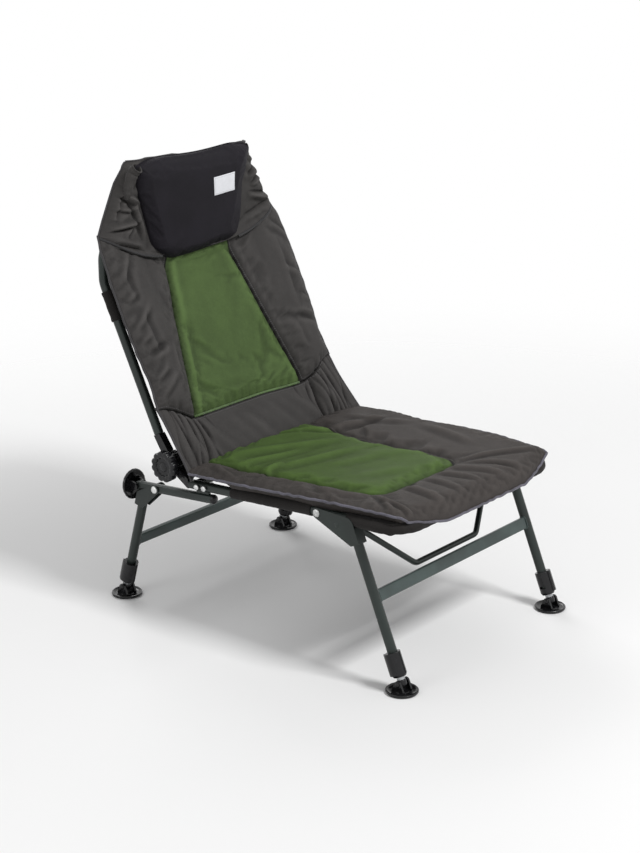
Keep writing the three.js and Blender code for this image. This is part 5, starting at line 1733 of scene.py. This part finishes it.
@dataclass(frozen=True)
class TubeFrame:
    """The painted tubes of the seat frame and the back, with their bolts and end fittings. A profile is made
    of (radius, height) points."""

    cross_tube: tuple[float, float, float] = (541, 249.7, 8.3)
    bolts: tuple[float, float] = (525, 505)
    cap: Rows = ((0, -7), (6, -6.6), (9.2, -4.5), (10.2, -2), (10.2, 0.4), (8.4, 0.6), (8.4, 12), (0, 12))
    knob_x: float = 276.1
    grip: Rows = ((0, 0), (26, 0), (31, 0.8), (33, 3), (33, 14.5), (31.4, 17.2), (28.5, 18), (23, 18),
                  (20.5, 17), (19, 14.2), (11, 14), (9.6, 15.6), (7.6, 16.2), (0, 16.2))
    stud: Rows = ((0, -32.2), (3.5, -32), (7.4, -31.4), (7.6, -27.2), (4, -27), (4, 1), (0, 1))
    lobes: int = 12
    lobe_depth: float = 3.2

    def seat_tubes(self) -> dict[str, Shape]:
        """Both rails, the bow across the front, and the cross tube at the rear."""
        made = {}
        for side in Side:
            y = np.array([LINES.bow_joint, LINES.pivot[0], LINES.rail_end[0]])
            line = bent(vector(side.value * LINES.rail_x, y, LINES.rail(y)), LINES.shoulder_radius)
            made[f"seat_rail_{side.word}"] = tube(spaced(line, 40), LINES.tube, LINES.wall, (1, 0, 0))
        bow = spaced(LINES.bow_line(LINES.bow_joint), 30)
        made["seat_front_bow"] = tube(bow, LINES.tube, LINES.wall, (0, 0, 1))
        y, half, radius = self.cross_tube
        made["rear_cross_tube"] = tube(vector([-half, half], y, LINES.rail(y)), radius, LINES.wall, (0, 0, 1))
        return made

    def hoop(self) -> Shape:
        """The back's hoop: up both sides, upright above the knees, and in over the shoulders."""
        x = LINES.rail_x
        low, high = LINES.back_foot(LINES.tube_start), (LINES.knee_y, LINES.top)
        upright = [(x, LINES.knee_y, height) for height in (LINES.knee, LINES.shoulder)]
        side = [(x, *low), *upright, (LINES.top_half, *high)]
        corners = [(-a, b, c) for a, b, c in side] + side[::-1]
        return tube(spaced(bent(corners, LINES.shoulder_radius), 25), LINES.tube, LINES.wall, (0, 1, 0))

    def build(self, shop: Workshop, finishes: Finishes) -> None:
        """Builds the tubes, the extension tubes with their plates, the hinge arms, bolts, caps and knobs."""
        for node, shape in self.seat_tubes().items():
            shop.stand_in(node, "tube", shape, finishes.paint, "seat_frame")
        shop.stand_in("back_hoop", "tube", self.hoop(), finishes.paint, "back")
        for side in Side:
            word, x = side.word, side.value * LINES.rail_x
            shop.refit(f"extension_tube_{word}", finishes.paint, "seat_frame", 0.5)
            shop.refit(f"hinge_lower_arm_{word}", finishes.plastic, "seat_frame", 0.5)
            shop.refit(f"hinge_upper_arm_{word}", finishes.plastic, "back", 0.5)
            cap = turned(self.cap, (x, *LINES.extension), (0, 1, LINES.extension_slope), 40)
            shop.stand_in(f"extension_cap_{word}", "end", cap, finishes.plastic, "seat_frame")
            for number, y in enumerate(self.bolts, 1):
                bolt = pin_with_heads(x, y, float(LINES.rail(y)), 13.6, 3, 6.4, 3.2)
                shop.stand_in(f"rail_bolt_{word}_{number}", "domed", bolt, finishes.steel, "seat_frame")
            knob = f"recline_knob_{word}"
            shop.stand_in(knob, "lobed", self.knob(side), finishes.plastic, knob, bevel=0.6, sharp=30)

    def knob(self, side: Side) -> Shape:
        """The clamp knob with its stud and nut; its lobes scale the radius by 1 - k · ((1 + cos 12a) / 2)²."""
        share = self.lobe_depth / max(radius for radius, _ in self.grip)
        at, out = (side.value * self.knob_x, *LINES.hinge), (side.value, 0, 0)
        body = turned(self.grip, at, out, 288, lambda a: 1 - share * ((1 + np.cos(self.lobes * a)) / 2) ** 2)
        return Shape.joined([body, turned(self.stud, at, out, 40)])


def pin_with_heads(x: float, y: float, z: float, reach: float, shank: float, head: float,
                   dome: float) -> Shape:
    """A pin across a tube, with a domed head at each end.

    Args:
        x, y, z: the pin's middle.
        reach: the distance from there to the foot of each dome.
        shank: the pin's radius.
        head: the heads' radius.
        dome: the domes' height; each dome is head · cos(t)^0.8 at dome · sin(t).

    Returns:
        The closed body.
    """
    half = [(shank, reach - 1), (head, reach - 0.9), (head, reach - 0.6)]
    half += [(head * math.cos(t) ** 0.8, reach + dome * math.sin(t)) for t in np.linspace(0, math.pi / 2, 9)]
    return turned([(r, -h) for r, h in half[::-1]] + half, (x, y, z), (1, 0, 0), 40)


@dataclass(frozen=True)
class Leg:
    """One telescopic leg: outer and inner tube, clamp collar with lever, swivelling mud foot and rivet."""

    end: LegEnd
    pin: tuple[float, float]
    up: tuple[float, float]
    pivot: tuple[float, float]
    reach: float
    start: float = 22
    inner: tuple[float, float, float] = (6, 179, 8.1)
    dish: Rows = ((0, -20), (28, -20), (31.5, -19.2), (33, -17), (32.9, -14.6), (32, -13.5), (30.6, -13.4),
                  (29.4, -14.4), (27.6, -15.8), (24, -16.6), (17, -16.9), (15.6, -16.4), (15, -15.4),
                  (13.4, -14.9), (0, -14.9))
    ear: Rows = ((0, 0, 7.5), (-9, -15, 5.2), (9, -15, 5.2))
    ear_places: tuple[float, float] = (10.6, -15.1)
    ear_thickness: float = 4.5
    plug: Rows = ((0, -9.4), (4, -9), (7.4, -7.2), (9, -4), (9.5, 0), (9.5, 5.4), (8.9, 6.2), (8.1, 6.4),
                  (8.1, 7), (0, 7))

    def along(self, side: Side, distance: float, off: float = 0.0, across: float = 0.0) -> Array:
        """A point on the leg's axis, or off it to the rear and across."""
        (y, z), (uy, uz) = self.pin, self.up
        return np.array([side.value * LINES.rail_x + across, y + uy * distance + uz * off,
                         z + uz * distance - uy * off])

    def straight(self, side: Side, low: float, high: float) -> Array:
        """A stretch of the leg's axis."""
        return spaced(np.stack([self.along(side, low), self.along(side, high)]), 60)

    def foot(self, side: Side) -> Shape:
        """The mud foot: a turned dish with a raised rim, a swivel hub, two ears and the pin through them."""
        x, (y, z) = side.value * LINES.rail_x, self.pin
        disc = turned(self.dish, (x, y, z), (0, 0, 1), 96)
        outline = hull_outline([(y + dy, z + dz, radius) for dy, dz, radius in self.ear], 90)
        ears = [plate(outline, x + low, x + low + self.ear_thickness) for low in self.ear_places]
        return Shape.joined([disc, *ears, pin_with_heads(x, y, z, 15.6, 3, 5, 2)])

    def build(self, side: Side, shop: Workshop, finishes: Finishes) -> None:
        """Builds the leg's own pieces on that side."""
        name, pair = f"{self.end.value}_{side.word}", f"{self.end.value}_legs"
        inner_leg, foot, lever = f"inner_leg_{name}", f"foot_{name}", f"lock_lever_{name}"
        low, high, radius = self.inner
        outer = tube(self.straight(side, self.start, self.reach), LINES.tube, LINES.wall, (1, 0, 0))
        inner = tube(self.straight(side, low, high), radius, LINES.wall, (1, 0, 0))
        plug = turned(self.plug, self.along(side, 0), (0, *self.up), 40)
        rivet = pin_with_heads(side.value * LINES.rail_x, *self.pivot, 12.6, 4, 8.2, 3.4)
        shop.stand_in(f"leg_tube_{name}", "outer", outer, finishes.paint, pair)
        shop.stand_in(inner_leg, "drawn", inner, finishes.leg_steel, inner_leg)
        shop.piece(f"leg_plug_{name}", plug, finishes.plastic, inner_leg)
        shop.stand_in(foot, "swivel", self.foot(side), finishes.plastic, foot, sharp=32)
        shop.refit(f"leg_collar_{name}", finishes.plastic, pair, 0.4)
        shop.refit(lever, finishes.plastic, lever, 0.5)
        shop.refit(f"leg_bracket_{name}", finishes.paint, pair, 0.5)
        shop.stand_in(f"pivot_rivet_{name}", "domed", rivet, finishes.steel, pair)


def boxed(count: int, wide: float, tall: float, powers: tuple[float, float]) -> tuple[Array, Array]:
    """A box's outline with rounded corners: wide · |cos t|^p and tall · |sin t|^q, each with its sign."""
    turn = circle(count)
    first, second = (np.sign(turn[:, k]) * abs(turn[:, k]) ** powers[k] for k in range(2))
    return wide * first, tall * second


@dataclass(frozen=True)
class LegPair:
    """Two legs with the flattened crossbar between them, and the brace of the front pair."""

    leg: Leg
    bar_distance: float
    braced: bool
    brace_end: tuple[float, float, float] = (241.9, 155, 312.4)
    brace_low: tuple[float, float, float] = (103, 88.6, 196.7)
    bolt_x: float = 257.0

    def crossbar(self) -> Shape:
        """The crossbar: a box 12 × 25 with rounded corners, between the leg tubes."""
        wide, tall = boxed(56, 6.2, 12.5, (0.42, 0.32))
        ends = [self.leg.along(side, self.bar_distance, 0, -side.value * LINES.tube) for side in Side]
        square = (0, self.leg.up[1], -self.leg.up[0])
        return ring_body(carried(spaced(np.stack(ends), 60), np.stack([tall, wide], -1), square))

    def welds(self) -> Shape:
        """Small uneven beads where the crossbar meets the leg tubes."""
        beads = []
        off, along = boxed(60, 6.8, 13.0, (0.5, 0.4))
        inside = LINES.rail_x - np.sqrt(np.maximum(LINES.tube**2 - off**2, 1)) - 0.6
        for side in Side:
            centre = np.stack([self.leg.along(side, self.bar_distance + a, o) for a, o in zip(along, off)])
            centre[:, 0] = side.value * inside
            loop = np.concatenate([centre, centre[:1]])
            size = 1.5 + 0.25 * ripple(travelled(loop), 5, 3)
            beads.append(ring_body(carried(loop, circle(8), (1, 0.05, 0.03), size)))
        return Shape.joined(beads)

    def brace(self) -> Shape:
        """The bent brace, with flattened ends that take its two bolts."""
        half = [self.brace_end, self.brace_low]
        line = bent([(-x, y, z) for x, y, z in half] + half[::-1], 22, 3)
        body = tube(spaced(line, 30), 6, 1.2, (0, 0.9, -0.4), 28)
        ends = [pin_with_heads(side.value * self.bolt_x, *self.brace_end[1:], 14.6, 2.6, 5.2, 2.2)
                for side in Side]
        return Shape.joined([body, *ends])

    def build(self, shop: Workshop, finishes: Finishes) -> None:
        """Builds both legs and what joins them."""
        end = self.leg.end.value
        for side in Side:
            self.leg.build(side, shop, finishes)
        shop.stand_in(f"{end}_crossbar", "flat", self.crossbar(), finishes.bar_paint, f"{end}_legs", sharp=60)
        shop.piece(f"{end}_crossbar_welds", self.welds(), finishes.bar_paint, f"{end}_legs", sharp=80)
        if self.braced:
            shop.stand_in(f"{end}_brace", "bent", self.brace(), finishes.paint, f"{end}_legs")


@dataclass(frozen=True)
class StandFeet:
    """The two swivelling pads on the rear ends of the extension tubes."""
    broken: float = 0.4

    def build(self, shop: Workshop, finishes: Finishes) -> None:
        """Builds both pads from their nodes."""
        for side in Side:
            foot = f"stand_foot_{side.word}"
            shop.refit(foot, finishes.plastic, foot, self.broken)


FRONT = LegPair(Leg(LegEnd.FRONT, (0, 20), (0.390731, 0.920505), (206, 325), 316.2), 174.9, True)
REAR = LegPair(Leg(LegEnd.REAR, (750, 20), (-0.267238, 0.963630), (647, 268.17), 238.6), 118.3, False)


# Studio


@dataclass(frozen=True)
class Studio:
    """The pale floor, the white surroundings, the soft lights and the photograph's camera."""

    floor: Colour = (250, 250, 250)
    reach: float = 30.0
    fading: tuple[float, float] = (0.75, 2.6)
    world_light: float = 0.42
    lamps: tuple[tuple[str, tuple[float, float, float], float, float], ...] = (
        ("key_light", (0.2, -3.0, 4.1), 1.2, 132), ("side_light", (-3.6, 0.6, 2.2), 1.4, 15),
        ("rim_light", (1.6, 3.0, 2.8), 1.8, 40))
    lit_height: float = 0.4
    camera: tuple[float, float, float] = (-3.0544, -2.4920, 1.7240)
    facing: tuple[float, float, float] = (0.7300, 0.6039, -0.3198)
    lens: float = 83.9

    @staticmethod
    def placed(name: str, data: Any, place: Sequence[float],
               facing: Optional[Sequence[float]] = None) -> Thing:
        """An object at a place in metres, turned to look along a direction where one is given."""
        made = bpy.data.objects.new(name, data)
        made.location = place
        if facing is not None:
            made.rotation_euler = Vector(facing).to_track_quat("-Z", "Y").to_euler()
        bpy.context.scene.collection.objects.link(made)
        return made

    def ground(self) -> Thing:
        """A plain pale floor below the feet, which fades into the surroundings further out."""
        mesh = bpy.data.meshes.new("studio_floor")
        corners = [(x * self.reach, y * self.reach, 0) for x, y in ((-1, -1), (1, -1), (1, 1), (-1, 1))]
        mesh.from_pydata(corners, [], [(0, 1, 2, 3)])
        s = Shader("studio_floor")
        x, y, _ = s.place().split()
        surface = s.finish(linear(self.floor), 0.9, None, specular_ior_level=0.1)
        s.fade(((x * x + y * y) ** 0.5).between(*self.fading))
        mesh.materials.append(surface)
        return self.placed("studio_floor", mesh, (0, 0, 0))

    def lamp(self, name: str, place: Sequence[float], size: float, power: float) -> Thing:
        """A square soft light that looks at the middle of the chair."""
        light = bpy.data.lights.new(name, "AREA")
        light.shape, light.size, light.energy = "SQUARE", size, power
        return self.placed(name, light, place, Vector((0, 0, self.lit_height)) - Vector(place))

    def surroundings(self) -> None:
        """A white world: full strength to the camera and in reflections, softer as a light."""
        world = bpy.data.worlds.new("studio_world")
        world.use_nodes = True
        tree = world.node_tree
        tree.nodes.clear()
        kinds = ("LightPath", "Math", "MixShader", "Background", "Background", "OutputWorld")
        path, either, mix, lit, seen, out = (tree.nodes.new(f"ShaderNode{kind}") for kind in kinds)
        either.operation = "MAXIMUM"
        for light, strength in ((lit, self.world_light), (seen, 1.0)):
            light.inputs["Color"].default_value = (1, 1, 1, 1)
            light.inputs["Strength"].default_value = strength
        links = ((path.outputs["Is Camera Ray"], either.inputs[0]),
                 (path.outputs["Is Glossy Ray"], either.inputs[1]),
                 (either.outputs[0], mix.inputs[0]), (lit.outputs[0], mix.inputs[1]),
                 (seen.outputs[0], mix.inputs[2]), (mix.outputs[0], out.inputs["Surface"]))
        for start, end in links:
            tree.links.new(start, end)
        bpy.context.scene.world = world

    def build(self) -> None:
        """Sets up the floor, the lights, the surroundings and the camera."""
        scene = bpy.context.scene
        scene.view_settings.view_transform = "Standard"
        self.surroundings()
        parts = [self.ground(), *(self.lamp(*row) for row in self.lamps)]
        lens = bpy.data.cameras.new("photo_camera")
        lens.lens, lens.sensor_width, lens.sensor_fit = self.lens, 36, "AUTO"
        scene.camera = self.placed("photo_camera", lens, self.camera, self.facing)


def main() -> None:
    """Builds every sub-assembly in order, then the studio, and logs how many pieces there are."""
    logging.basicConfig(level=logging.INFO, format="%(name)s %(message)s")
    shop = Workshop(frame["nodes"])
    finishes = Finishes()
    for part in (TubeFrame(), FRONT, REAR, StandFeet(), Slings(), SeatPad(), BackPad(), LumbarBand(),
                 HeadHood(), HeadPillow()):
        part.build(shop, finishes)
    Studio().build()
    LOG.info("%d pieces", len(shop.pieces))


if __name__ == "__main__":
    main()
